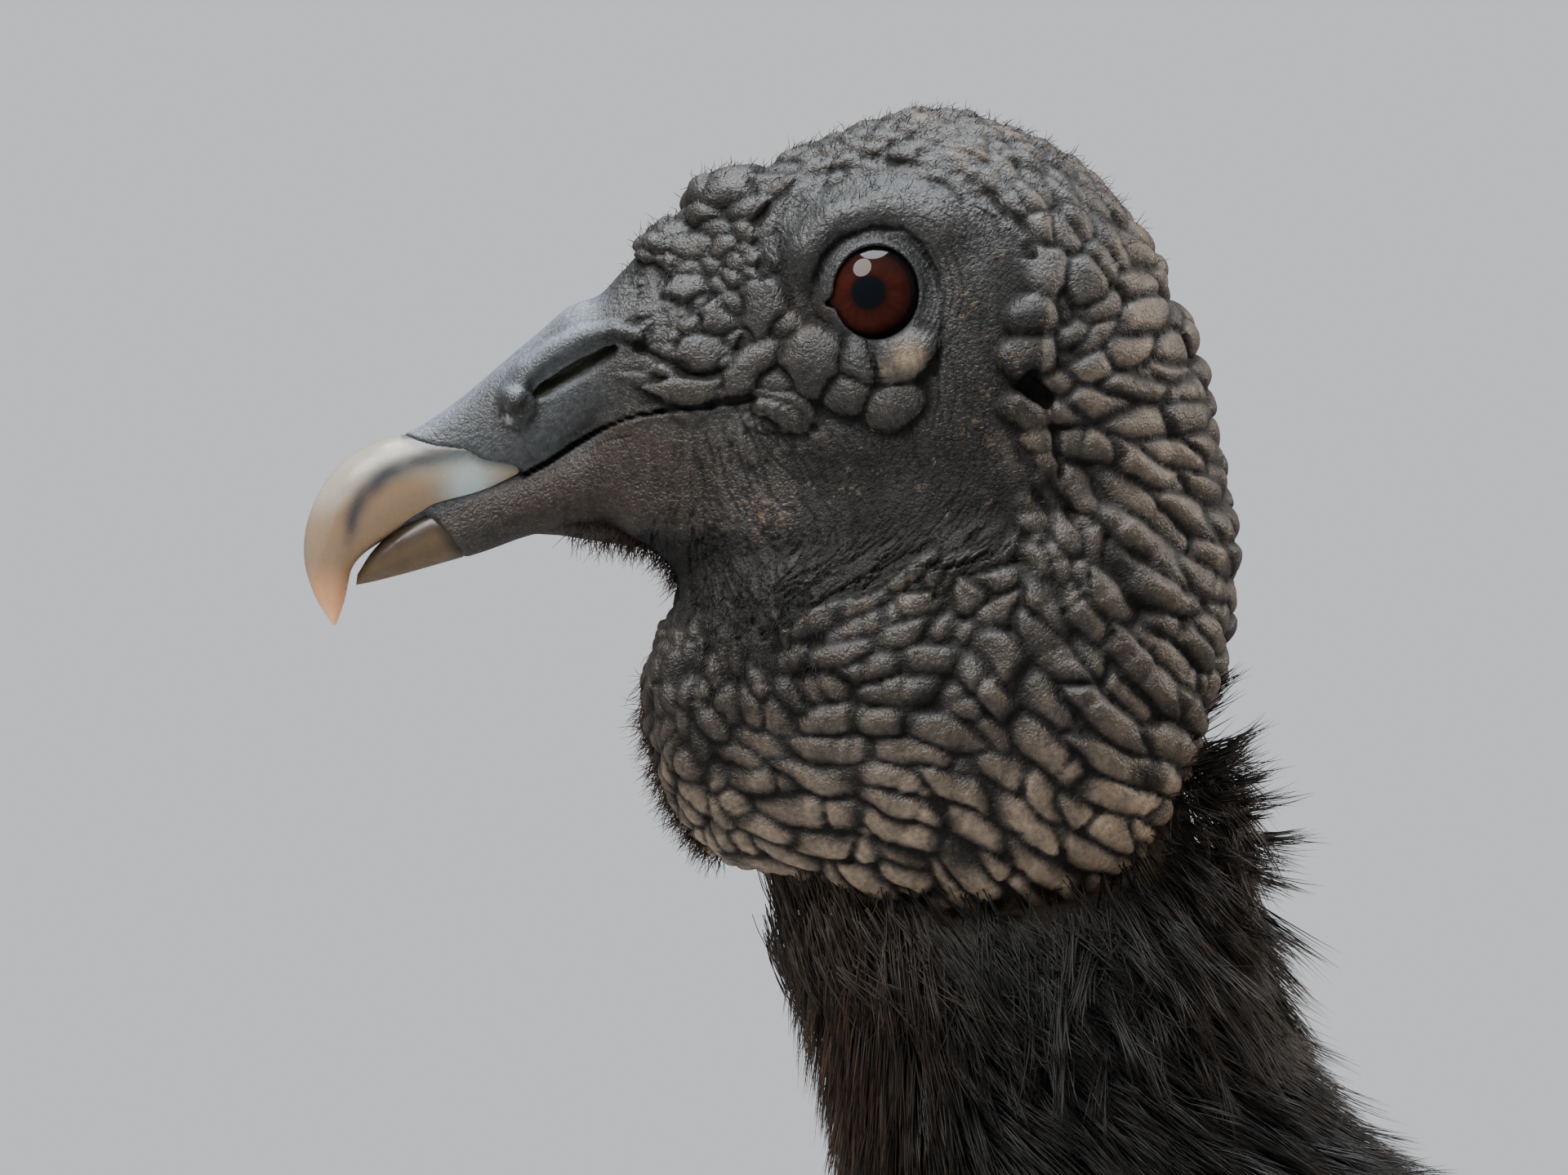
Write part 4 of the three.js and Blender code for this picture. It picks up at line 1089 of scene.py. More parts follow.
def skin_material():
    nodes = Nodes("skin")
    paint = nodes.colour_of("paint")
    place = nodes.add("TexCoord").outputs["Object"]
    grain = nodes.bump(nodes.noise(2800, 3), 0.00011, 1.0)
    pores = nodes.bump(nodes.noise(1250, 5, 0.62), 0.00021, 1.0, grain)
    cells = nodes.add("TexVoronoi", {"feature": "DISTANCE_TO_EDGE"}, {"Vector": place, "Scale": 1500.0})
    leather = nodes.bump(nodes.ramp(cells.outputs["Distance"], 0.0, 0.22, 0.0, 1.0), 0.00005, 0.8, pores)
    light = nodes.add("RGBToBW", inputs={"Color": paint})
    speck = nodes.ramp(nodes.noise(3000, 2), 0.60, 0.68, 0.0, 0.55)
    speck = nodes.product(speck, nodes.ramp(light, 0.012, 0.03, 0.0, 1.0))
    dusty = nodes.add("Mix", {"data_type": "RGBA"}, {"Factor": speck, 6: paint, 7: (0.13, 0.105, 0.08, 1)})
    shade = nodes.ramp(nodes.noise(1300, 4), 0.35, 0.65, 0.72, 1.2)
    tinted = nodes.add("VectorMath", {"operation": "SCALE"}, {0: dusty.outputs[2], "Scale": shade})
    nodes.set(Base_Color=tinted, Roughness=nodes.ramp(light, 0.004, 0.016, 0.78, 0.42), Normal=leather,
              Specular_IOR_Level=0.5)
    return nodes.material


def floor_material():
    """Pale near the bird and fading into the backdrop's own colour far away."""
    nodes = Nodes("floor")
    nodes.set(Base_Color=(0.72, 0.72, 0.70, 1), Roughness=0.9)
    place = nodes.add("TexCoord").outputs["Object"]
    reach = nodes.add("VectorMath", {"operation": "LENGTH"}, {0: place}).outputs["Value"]
    far = nodes.add("MapRange", {"interpolation_type": "SMOOTHSTEP"},
                    {"Value": reach, "From Min": 1.2, "From Max": 6.0})
    seen = nodes.add("LightPath").outputs["Is Camera Ray"]
    share = nodes.product(far, seen)
    backdrop = nodes.add("Emission", inputs={"Color": (*BACKDROP, 1), "Strength": BACKDROP_SEEN})
    both = nodes.add("MixShader", inputs={0: share, 1: nodes.shader.outputs["BSDF"], 2: backdrop})
    nodes.put(nodes.tree.nodes["Material Output"], "Surface", both)
    return nodes.material


def horn_material():
    nodes = Nodes("horn")
    nodes.set(Base_Color=nodes.colour_of("paint"),
              Roughness=nodes.ramp(nodes.noise(500, 3), 0.3, 0.7, 0.22, 0.38),
              Normal=nodes.bump(nodes.noise(420, 5), 0.00012, 0.35))
    return nodes.material


def eye_material():
    nodes = Nodes("eye")
    nodes.set(Base_Color=nodes.colour_of("paint"), Roughness=0.6, Specular_IOR_Level=0.0,
              Coat_Weight=1.0, Coat_Roughness=0.02, Coat_IOR=1.30)
    return nodes.material


def coat_material(name, roughness):
    nodes = Nodes(name)
    nodes.set(Base_Color=nodes.colour_of("paint"), Roughness=roughness, Specular_IOR_Level=0.28,
              Sheen_Weight=0.05)
    return nodes.material


def vane_material(name, roughness):
    """Fine lines along the barbs of a feather, in relief and in shade."""
    nodes = Nodes(name)
    barb = nodes.value_of("barb")
    fine, broad = (nodes.add("TexNoise", {"noise_dimensions": "1D"},
                             {"W": barb, "Scale": scale, "Detail": detail}).outputs["Fac"]
                   for scale, detail in ((1.7, 2.0), (0.35, 1.0)))
    shade = nodes.product(nodes.ramp(fine, 0.35, 0.65, 0.72, 1.28), nodes.ramp(broad, 0.3, 0.7, 0.85, 1.15))
    tinted = nodes.add("VectorMath", {"operation": "SCALE"}, {0: nodes.colour_of("paint"), "Scale": shade})
    nodes.set(Base_Color=tinted, Roughness=roughness, Normal=nodes.bump(fine, 0.0003, 0.7),
              Specular_IOR_Level=0.25)
    return nodes.material


# ---- bill -------------------------------------------------------------------------------------------------
IVORY = (0.35, 0.315, 0.25)
HORN_TAN = (0.25, 0.165, 0.10)
PEACH = (0.62, 0.30, 0.15)
HORN_BAND = (0.028, 0.034, 0.046)
HORN_WHITE = (0.34, 0.41, 0.42)
OLIVE = (0.095, 0.064, 0.036)
HORN_TIP = (0.80, 0.42, 0.22)
OLIVE_DARK = (0.05, 0.038, 0.030)
BAND_LINE = ((-48, -19.6), (-53, -19.9), (-56.2, -20.4), (-59.9, -21.9), (-62.5, -24.4), (-63.9, -27.2),
             (-64.6, -31))
CULMEN = ((-70, -66, -62, -58, -52), (-33, -22.5, -19.2, -17.8, -16.5))  # the upper bill's ridge: back, up
LOWER_RIM = ((-64, -50), (-34.2, -27.2))
BILL_SIDES = 72


def upper_horn_colours(points):
    y, z = points[:, 1:].T
    grain = noise_a(points / (0.5, 1.6, 1.6))
    colours = shaded(IVORY, 1 + 0.05 * grain)
    line = polyline_distance(y, z, BAND_LINE)
    under = smooth(np.interp(y, *CULMEN) - z, 2.6, 5.2) * smooth(-z, 19, 24)
    colours = mixed(colours, HORN_TAN, np.maximum(under, smooth(-z, 24, 29) * 0.8))
    colours = mixed(colours, PEACH, smooth(-z, 32, 38.5))
    colours = mixed(colours, HORN_TIP, smooth(-z, 37.5, 40.5) * 0.6)
    fade = 1 - smooth(-z, 27, 32.5)
    width = np.interp(-z, (19, 24, 31), (1.5, 1.3, 0.8))
    colours = mixed(colours, HORN_BAND, np.exp(-(line / width) ** 2) * fade * (0.86 + 0.14 * grain))
    colours = mixed(colours, HORN_WHITE, np.clip(1.15 * blob(y, z, (-49.6, -23.4), 2.1), 0, 0.95))
    edge = smooth(-boundary_upper(y, z), -1.5, 0.1)
    return mixed(colours, CERE, edge * 0.85).clip(0.003, 0.9)


def lower_horn_colours(points):
    y, z = points[:, 1:].T
    grain = noise_a(points / (0.5, 2, 2))
    colours = shaded(OLIVE, 1 + 0.12 * grain)
    colours = mixed(colours, OLIVE_DARK, smooth(z - np.interp(y, *LOWER_RIM), -0.8, 1.2) * 0.8)
    return mixed(colours, MANDIBLE, smooth(-boundary_lower(y, z), -2.2, -0.1)).clip(0.003, 0.9)


def build_bill():
    for name, stations, steps, first, boundary, paint in (
            ("bill_upper", UPPER_BILL, 150, 2.55, boundary_upper, upper_horn_colours),
            ("bill_lower", LOWER_BILL, 90, 3.4, boundary_lower, lower_horn_colours)):
        points, walls, ends = bill_surface(stations, steps, BILL_SIDES, first)
        normals = vertex_normals(points, quads_cut(walls))
        sunk = 1 - smooth(boundary(points[:, 1], points[:, 2]), -0.9, 0.2)
        inner = np.zeros(len(points))
        inner[:-2] = np.repeat(1 - smooth(np.arange(steps + 1), 0, 3), BILL_SIDES)
        points = points - (0.75 * sunk + 1.5 * inner)[:, None] * normals
        piece = add_mesh(name, points + ORIGIN, [walls, ends])
        set_colours(piece.data, "paint", paint(points))
        piece.data.materials.append(horn_material())
        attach(piece, "root")
        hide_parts(name)


# ---- eyes -------------------------------------------------------------------------------------------------
PUPIL = 2.06
IRIS = 5.15
GAZE = math.radians(7)  # how far the pupil is turned forwards
CORNEA = 0.42  # how far the clear front bulges out of the ball
IRIS_RED = (0.036, 0.0078, 0.0045)
IRIS_EDGE = (0.017, 0.0035, 0.0025)
IRIS_LID_SHADE = (0.017, 0.0065, 0.0062)
IRIS_RING = (0.020, 0.004, 0.003)
PUPIL_BLACK_SKY_TINT = (0.0030, 0.0042, 0.0062)
EYE_WHITE = (0.004, 0.003, 0.003)  # as dark as the skin round it


def eye_colours(across, up, ahead, seed):
    reach = np.hypot(across, up)
    angle = np.arctan2(up, across)
    streak = Noise(seed)(np.stack([np.cos(angle) * 9, np.sin(angle) * 9, reach * 0.7], 1))
    colours = shaded(IRIS_RED, 1 + 0.3 * streak)
    colours = mixed(colours, IRIS_EDGE, smooth(reach, 3.6, 5.0) * 0.85)
    # painted shade of the lid over the upper iris, with a faint painted pinkish reflection
    colours = mixed(colours, IRIS_LID_SHADE, smooth(up, 0.5, 4.5) * 0.7)
    colours = mixed(colours, IRIS_RING, np.exp(-((reach - PUPIL - 0.2) / 0.35) ** 2) * 0.7)
    # the pupil black with a faint blue of painted sky reflection
    colours = mixed(colours, PUPIL_BLACK_SKY_TINT, 1 - smooth(reach, PUPIL - 0.12, PUPIL + 0.12))
    outside = np.maximum(smooth(reach, IRIS - 0.5, IRIS), smooth(-ahead, 0, 1))
    return mixed(colours, EYE_WHITE, outside)


def build_eyes():
    sides, rings = 96, 64
    for name, sign in (("eye_left", 1), ("eye_right", -1)):
        ahead = np.array([sign * math.cos(GAZE), -math.sin(GAZE), 0])
        across = np.array([-sign * math.sin(GAZE), -math.cos(GAZE), 0])
        up = np.array([0, 0, 1.0])
        slant = np.pi * (np.arange(rings) + 0.5) / rings
        turn = 2 * np.pi * np.arange(sides) / sides
        ring_reach = EYE_BALL * np.sin(slant)
        bulge = np.where(slant < 1.2, CORNEA * np.clip(1 - (ring_reach / IRIS) ** 2, 0, 1) ** 1.5, 0)
        u = (ring_reach[:, None] * np.cos(turn)).reshape(-1)
        v = (ring_reach[:, None] * np.sin(turn)).reshape(-1)
        w = np.repeat(EYE_BALL * np.cos(slant) + bulge, sides)
        u, v = np.append(u, [0, 0]), np.append(v, [0, 0])
        w = np.append(w, [EYE_BALL + CORNEA, -EYE_BALL])
        points = u[:, None] * across + v[:, None] * up + w[:, None] * ahead + [sign * EYE_OUT, 0, 0]
        walls, ends = outward(points, *tube_faces(rings, sides))
        piece = add_mesh(name, points + ORIGIN, [walls, ends])
        set_colours(piece.data, "paint", eye_colours(u, v, w, 40 + sign))
        piece.data.materials.append(eye_material())
        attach(piece, "root")
        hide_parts(name)


# ---- the surface that feathers lie on ------------------------------------------------------------------
GROUND_MARGIN = 24  # how far round a solid distances to it are known
PIECE_LIMIT = 190000  # triangles in one piece of the coat
BARB_TURNS = 97.0  # each vane starts anywhere in this length of the barbs' pattern


class Ground:
    """Distances to some CAD nodes, in scene millimetres, with ways to follow their surface."""

    def __init__(self, names, step, soften=1.5):
        boxes = [[np.array(corner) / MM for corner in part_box(name)] for name in names]
        low = np.min([b[0] for b in boxes], axis=0) - GROUND_MARGIN
        high = np.max([b[1] for b in boxes], axis=0) + GROUND_MARGIN
        self.field = Field(low, high, step)
        surfaces = (node_surface(name) for name in names)
        band = int((GROUND_MARGIN + 2) / step)
        self.values = np.minimum.reduce([self.field.from_surface(p, t, band) for p, t in surfaces])
        if soften:
            self.values = blurred(self.values, soften / step)

    def distance(self, points):
        return self.field.sample(self.values, points)

    def normal(self, points):
        return gradient(self.field, self.values, points)

    def scattered(self, spacing, allowed):
        """Places on the surface at least spacing apart; spacing can change from place to place."""
        points, quads = self.field.surface(self.values)
        corners = points[quads]
        diagonals = corners[:, 2] - corners[:, 0], corners[:, 3] - corners[:, 1]
        area = np.linalg.norm(np.cross(*diagonals), axis=1) / 2
        middle = corners.mean(1)
        reach = spacing(middle)
        wanted = np.where(allowed(middle), 5 * area / reach ** 2, 0)
        count = rng.poisson(wanted)
        pick = np.repeat(np.arange(len(quads)), count)
        a, b = rng.random((2, len(pick), 1))
        first, second, third, fourth = corners[pick].transpose(1, 0, 2)
        places = (first * (1 - a) + second * a) * (1 - b) + (fourth * (1 - a) + third * a) * b
        return thinned(places, reach[pick])


def thinned(places, reach):
    """Places left when each keeps the others out of its reach."""
    cell = float(reach.max())
    keys = [tuple(k) for k in np.floor(places / cell).astype(int)]
    kept, found = {}, []
    around = [(i, j, k) for i in (-1, 0, 1) for j in (-1, 0, 1) for k in (-1, 0, 1)]
    lists = places.tolist()
    for index in rng.permutation(len(places)):
        x, y, z = lists[index]
        a, b, c = keys[index]
        limit = reach[index] ** 2
        clear = True
        for i, j, k in around:
            for px, py, pz in kept.get((a + i, b + j, c + k), ()):
                if (px - x) ** 2 + (py - y) ** 2 + (pz - z) ** 2 < limit:
                    clear = False
                    break
            if not clear:
                break
        if clear:
            kept.setdefault((a, b, c), []).append((x, y, z))
            found.append(index)
    return places[found]


def laid(ground, roots, headings, lengths, start, end, steps):
    """Centre lines that begin at height start over the surface and follow it to height end."""
    normals = ground.normal(roots)
    headings = unit(headings - normals * np.einsum("ij,ij->i", headings, normals)[:, None])
    place = roots + normals * (start - ground.distance(roots))[:, None]
    line, ups = [place], [normals]
    for k in range(1, steps + 1):
        share = k / steps
        ahead = place + headings * (lengths / steps)[:, None]
        normals = ground.normal(ahead)
        wanted = start + (end - start) * share ** 0.8
        ahead = ahead + normals * (wanted - ground.distance(ahead))[:, None]
        headings = unit(ahead - place)
        place = ahead
        line.append(place)
        ups.append(normals)
    return np.stack(line, 1), np.stack(ups, 1)


def ring_angles(sides):
    """Turned so that one corner of each ring is on top."""
    return np.pi / 2 + 2 * np.pi * (np.arange(sides) - 1) / sides


def cross_sections(lines, ups, wide, thick, sides, camber=0.0):
    """Rings round each centre line: wide across it and thick upwards."""
    tangents = unit(np.gradient(lines, axis=1))
    across = unit(np.cross(tangents, ups))
    up = np.cross(across, tangents)
    angle = ring_angles(sides)
    sideways = (np.cos(angle) * wide[..., None])[..., None]
    upwards = (np.sin(angle) * thick[..., None] - camber * np.cos(angle) ** 2 * wide[..., None])[..., None]
    return lines[:, :, None] + across[:, :, None] * sideways + up[:, :, None] * upwards


def many_tubes(name, rings, colours, roots, material, barbs=None):
    """Closed tapering tubes as mesh pieces of a limited size; rings are [tube, ring, side].
    Vanes bring barbs, the distance in millimetres at which each corner lies along their pattern."""
    count, length, sides = rings.shape[:3]
    i, k = np.meshgrid(np.arange(length - 1), np.arange(sides), indexing="ij")
    a = (i * sides + k).reshape(-1)
    b = (i * sides + (k + 1) % sides).reshape(-1)
    walls = np.stack([a, b, b + sides, a + sides], axis=1)
    caps = np.stack([np.arange(sides)[::-1], (length - 1) * sides + np.arange(sides)])
    triangles = 2 * len(walls) + 2 * (sides - 2)
    per_piece = PIECE_LIMIT // triangles
    pieces = []
    for number, first in enumerate(range(0, count, per_piece)):
        part = rings[first:first + per_piece]
        shift = (np.arange(len(part)) * length * sides)[:, None, None]
        faces = [(walls[None] + shift).reshape(-1, 4), (caps[None] + shift).reshape(-1, sides)]
        piece = add_mesh(f"{name}_{number + 1}", part.reshape(-1, 3), faces)
        shade = np.repeat(colours[first:first + per_piece].reshape(-1, 3), sides, axis=0)
        set_colours(piece.data, "paint", shade)
        own = roots[first:first + per_piece]
        add_bake_map(piece.data, own, length * sides, sides)
        if barbs is not None:
            layer = piece.data.attributes.new("barb", "FLOAT", "POINT")
            layer.data.foreach_set("value", barbs[first:first + per_piece].astype(np.float32).reshape(-1))
            flat_edges(piece.data, len(part) * len(walls), sides)
        piece.data.materials.append(material)
        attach(piece, "root")
        pieces.append(piece)
    return pieces


def flat_edges(mesh, wall_count, sides):
    """Keeps the vanes' thin edges out of the smooth shading of their faces."""
    rounded = np.ones(len(mesh.polygons), bool)
    rounded[:wall_count] = np.arange(wall_count) % sides % 3 != 2
    rounded[wall_count:] = False
    mesh.polygons.foreach_set("use_smooth", rounded)


def unwrap(points):
    """A place in the square for each point: round the head's own length, and round the body's."""
    x, y, z = (points - ORIGIN).T
    head = z > -90
    turn_head = np.arctan2(x, z + 22) / (2 * np.pi) + 0.5
    turn_body = np.arctan2(x, z + 190) / (2 * np.pi) + 0.5
    along = np.where(y < 10, y, 10 + 45 * np.arctan2(y - 10, np.hypot(x, z + 22)))
    u = 0.02 + 0.96 * np.where(head, turn_head, turn_body)
    v_head = 0.36 + 0.62 * np.clip((along + 70) / 150, 0, 1)
    v_body = 0.02 + 0.30 * np.clip((y + 60) / 420, 0, 1)
    return np.stack([u, np.where(head, v_head, v_body)], 1)


def set_bake_map(mesh, places):
    """Gives every corner of every face its place in the bake map."""
    layer = mesh.uv_layers.new(name="OFBake")
    layer.data.foreach_set("uv", places.astype(np.float32).reshape(-1))


def add_bake_map(mesh, roots, per_tube, sides):
    """Each tube is a small patch of the bake map, at the place where it's rooted."""
    home = np.repeat(unwrap(roots), per_tube, axis=0)
    index = np.arange(len(home)) % per_tube
    home[:, 0] += 0.003 * ((index % sides) / sides - 0.5)
    home[:, 1] += 0.003 * ((index // sides) / (per_tube // sides) - 0.5)
    set_bake_map(mesh, home[read(mesh.loops, "vertex_index", np.int32)])


# ---- plumage -------------------------------------------------------------------------------------------
# The line through neck and trunk: back from the eye and height over the floor.
SPINE = np.array(((16, 405), (17.5, 366), (18.5, 350), (28, 322), (43, 296), (62, 270), (86, 247), (114, 227),
                  (142, 207), (168, 188), (192, 171), (214, 155), (238, 138)), float)
BLACK = (0.0062, 0.0054, 0.0047)
RUST = (0.034, 0.018, 0.010)
BODY_TIP = (0.024, 0.018, 0.013)  # of a worn, brownish feather's tip
STRAND_STEPS = 4
STRAND_WIDTH = 0.12  # half of it, in millimetres
NECK_END = -118  # up from the eye; below it the body's feathers take over from the neck's strands


def spine_heading(points):
    """The way down the neck and back along the trunk, at each point."""
    spine = SPINE + [ORIGIN[1], 0]
    middle = (spine[1:] + spine[:-1]) / 2
    steps = unit(spine[1:] - spine[:-1])
    gap = np.linalg.norm(points[:, None, 1:] - middle[None], axis=2)
    near = np.exp(-(gap - gap.min(1, keepdims=True)) / 6)
    flat = unit(near @ steps)
    return np.concatenate([np.zeros((len(points), 1)), flat], axis=1)


def tone(count, steps, base, tip, spread, rusty):
    """Colours along many tubes, each a little lighter or darker, some with a rusty tip."""
    share = np.linspace(0, 1, steps + 1)[None, :, None] ** 2
    own = 1 + spread * rng.standard_normal((count, 1, 1))
    red = (rng.random((count, 1, 1)) < rusty) * rng.uniform(0.3, 1, (count, 1, 1))
    return np.clip(np.array(base) * own + (np.array(tip) - np.array(base)) * share * red, 0.003, 0.6)


def build_bristles(head_skin):
    """Short hairs of the bare head: fuzz on crown and cheek, and stiffer ones on throat and chin."""
    places = head_skin.places
    normals = gradient(head_skin.field, head_skin.head, places)
    x, y, z = places.T
    crown = smooth(normals[:, 2], 0.2, 0.7) * smooth(y, -33, -29) * smooth(-y, -36, -26) * (z > -2)
    cheek = smooth(-z + 0.15 * y, 14, 19) * smooth(z, -40, -34) * smooth(y, -14, -6) * smooth(-y, -22, -17)
    temple = 0.5 * smooth(y, 10, 13) * smooth(-y, -18, -15) * smooth(z, -16, -10) * smooth(-z, -8, -2)
    throat = smooth(y, -24, -21) * smooth(-y, 4, 9) * smooth(-z, 31, 35) * smooth(z, -52, -46)
    chin = smooth(y, -39, -35) * smooth(-y, 18, 21) * smooth(-z, 26, 28)
    chin *= (np.abs(x) < 4.5) & (normals[:, 2] < -0.1)
    # where, how many, shortest, longest, how far out, the way they lie, how tousled, colour
    kinds = (
        (crown, 1700, 0.8, 2.3, 0.8, (0, 0.5, 0), 0.35, (0.010, 0.009, 0.008)),
        (cheek + temple, 5200, 0.4, 1.1, 0.22, (0, 0.45, -0.8), 0.45, (0.009, 0.0065, 0.0045)),
        (cheek + temple, 260, 0.4, 1.3, 0.3, (0, 0.45, -0.8), 0.9, (0.15, 0.10, 0.055)),
        (throat, 1200, 1.2, 3.4, 0.5, (0, -0.1, -0.7), 0.35, (0.007, 0.0055, 0.0045)),
        (chin, 1500, 1.0, 3.8, 0.6, (0, -0.1, -0.5), 0.5, (0.045, 0.024, 0.014)),
    )
    lines, ups, colours = [], [], []
    for share, count, short, long, out, way, loose, colour in kinds:
        pick = rng.choice(len(places), count, p=share / share.sum())
        up = normals[pick]
        heading = unit(out * up + np.array(way) + loose * rng.standard_normal((count, 3)))
        half = 0.5 * rng.uniform(short, long, count)[:, None]
        root = places[pick] + rng.normal(0, 0.12, (count, 3)) - 0.25 * up
        middle = root + half * heading
        tip = middle + half * unit(heading + 0.35 * rng.standard_normal((count, 3)) - [0, 0, 0.2])
        lines.append(np.stack([root, middle, tip], 1))
        ups.append(np.repeat(up[:, None], 3, axis=1))
        colours.append(tone(count, 2, colour, colour, 0.3, 0))
    lines, ups, colours = (np.concatenate(values) for values in (lines, ups, colours))
    wide = np.array([0.055, 0.045, 0.012]) * rng.uniform(0.75, 1.25, (len(lines), 1))
    rings = cross_sections(lines + ORIGIN, ups, wide, wide, 3)
    many_tubes("bristles", rings, colours, lines[:, 0] + ORIGIN, coat_material("bristles", 0.5))


def free_strands(roots, headings, curls, lengths, normals):
    """Centre lines that leave the surface and bend by curls towards their tips, and their way up."""
    share = np.linspace(0, 1, STRAND_STEPS)[None, :, None]
    ways = unit(headings[:, None] + curls[:, None] * share) * (lengths / STRAND_STEPS)[:, None, None]
    lines = np.concatenate([roots[:, None], roots[:, None] + np.cumsum(ways, axis=1)], 1)
    return lines, np.repeat(normals[:, None], STRAND_STEPS + 1, axis=1)


# The rim of the pouch and of the last folds, under which the plumage starts: back and up from the eye.
RIM = ((-15.1, -67), (-10.1, -70.2), (-4.2, -72.9), (1.7, -75.2), (8.1, -76.1), (15.3, -76.5),
       (20.8, -76.1), (26.3, -74.7), (30.8, -72.4), (34.4, -69.7), (36.3, -65.2), (37.8, -61.5),
       (38.4, -57.4), (40.3, -53.4), (41.3, -49.7), (44, -44))


def clear_of_rim(lines, head_skin):
    """Which strands stay under the rim wherever they're outside the head's skin."""
    points = lines.reshape(-1, 3) - ORIGIN
    rim_y, rim_z = np.array(RIM).T
    over = points[:, 2] - np.interp(points[:, 1], rim_y, rim_z)
    seen = head_skin.field.sample(head_skin.head, points) > 0.2
    return ~((over > 0.6) & seen).reshape(len(lines), -1).any(1)


def locks_of(count, strands, spread):
    """The lock each strand belongs to, and where in it the strand is rooted."""
    owner = np.repeat(np.arange(count), strands)
    return owner, spread * rng.standard_normal((len(owner), 3))


def neck_coat(ground, feathered, bare):
    """The close coat that follows the neck down."""
    eye_z = ORIGIN[2]

    def allowed(points):
        return ((points[:, 2] > eye_z - 174 + 9 * noise_a(points / 16)) & (feathered.distance(points) < 1.6)
                & (bare.distance(points) > np.where(points[:, 1] > ORIGIN[1] + 24, -0.4, 0.3)))

    locks = ground.scattered(lambda p: 1.8 + 1.6 * smooth(eye_z - p[:, 2], 112, 122), allowed)
    count = len(locks)
    rel = locks - ORIGIN
    nape = smooth(rel[:, 1], 24, 40) * smooth(rel[:, 2], -125, -80)
    woolly = smooth(rel[:, 1], 2, 14) * smooth(rel[:, 2], -104, -84) * (1 - nape)
    back = smooth(rel[:, 1], -6, 12) * smooth(rel[:, 2], -122, -96) * [[0], [0.5], [0.1]]
    wave = 0.16 * np.stack([noise(locks / 14) for noise in (noise_a, noise_b, noise_c)], 1)
    loose = (0.07 + 0.30 * woolly + 0.12 * nape)[:, None]
    heading = unit(spine_heading(locks) + back.T + wave + loose * rng.standard_normal((count, 3)))
    wisp = rng.random(count) < 0.02 + 0.10 * nape
    front = smooth(-rel[:, 1], -14, 4) * smooth(rel[:, 2], -92, -74)
    rise = rng.uniform(-1.4, 0.7, count) + 0.9 * nape + 0.9 * front + wisp * rng.uniform(1.2, 3.6, count)
    owner, spread = locks_of(count, 9, 0.8)
    roots = locks[owner] + spread
    length = rng.uniform(10, 17, count)[owner] * rng.uniform(0.8, 1.15, len(owner))
    way = unit(heading[owner] * length[:, None] - 0.5 * spread + 0.5 * rng.standard_normal((len(owner), 3)))
    start = -COAT_DEPTH - 0.3 + 2.4 * smooth(rel[owner, 2], -84, -76)
    end = rise[owner] + rng.normal(0, 0.35, len(owner))
    return laid(ground, roots, way, length, start, end, STRAND_STEPS)


def neck_collar(ground, feathered):
    """Strands from under the pouch's edge that hang down over the top of the neck."""

    def allowed(points):
        rel = points - ORIGIN
        return (rel[:, 2] > -87) & (rel[:, 1] < 34) & (feathered.distance(points) < 1.2)

    locks = ground.scattered(lambda p: np.full(len(p), 1.7), allowed)
    rel = locks - ORIGIN
    normals = ground.normal(locks)
    front = smooth(-rel[:, 1], -6, 8)
    count = len(locks)
    heading = spine_heading(locks) + np.stack([0 * front, 0.35 * (1 - front), 0 * front], 1)
    heading = unit(heading + (0.12 + 0.18 * (1 - front))[:, None] * rng.standard_normal((count, 3)))
    owner, spread = locks_of(count, 8, 0.7)
    length = rng.uniform(12, 19, count)[owner] * rng.uniform(0.8, 1.15, len(owner))
    length *= (1 - 0.38 * front)[owner]
    out = (-1.6 + 3.0 * front - 1.0 * rng.random(count))[owner]
    back = (4.0 + 4.0 * front)[owner, None]
    roots = locks[owner] + spread + out[:, None] * normals[owner] - back * heading[owner]
    way = unit(heading[owner] * length[:, None] - 0.5 * spread + 0.4 * rng.standard_normal((len(owner), 3)))
    curl = -0.46 * front[owner, None] * normals[owner]
    curl += (0.10 + 0.35 * (1 - front))[owner, None] * rng.standard_normal((len(owner), 3))
    return free_strands(roots, way, curl, length, normals[owner])


def neck_ruff(ground, feathered):
    """Pointed tufts that stand out at the nape under the last folds, the lower ones longer and lower."""

    def allowed(points):
        rel = points - ORIGIN
        return (rel[:, 1] > 20) & (rel[:, 2] > -88) & (feathered.distance(points) < 1.2)

    tufts = ground.scattered(lambda p: np.full(len(p), 2.9), allowed)
    count = len(tufts)
    normals = ground.normal(tufts)
    low = smooth(ORIGIN[2] - tufts[:, 2], 50, 84)
    flat = unit(normals * [1, 1, 0])
    rise = 0.30 - 1.15 * low
    heading = flat * (1 - 0.25 * low)[:, None] + rise[:, None] * [0, 0, 1]
    heading = unit(heading + 0.17 * rng.standard_normal((count, 3)))
    owner, spread = locks_of(count, 20, 0.75)
    length = (7.5 + 7 * low)[owner] * rng.uniform(0.7, 1.3, count)[owner]
    length *= rng.uniform(0.75, 1.1, len(owner))
    roots = tufts[owner] + spread - 3.4 * normals[owner]
    way = unit(heading[owner] * length[:, None] - 0.7 * spread + 0.45 * rng.standard_normal((len(owner), 3)))
    curl = np.stack([0 * low, 0 * low, 0.42 - 0.62 * low], 1)[owner]
    curl += 0.12 * rng.standard_normal((len(owner), 3))
    return free_strands(roots, way, curl, length, normals[owner])


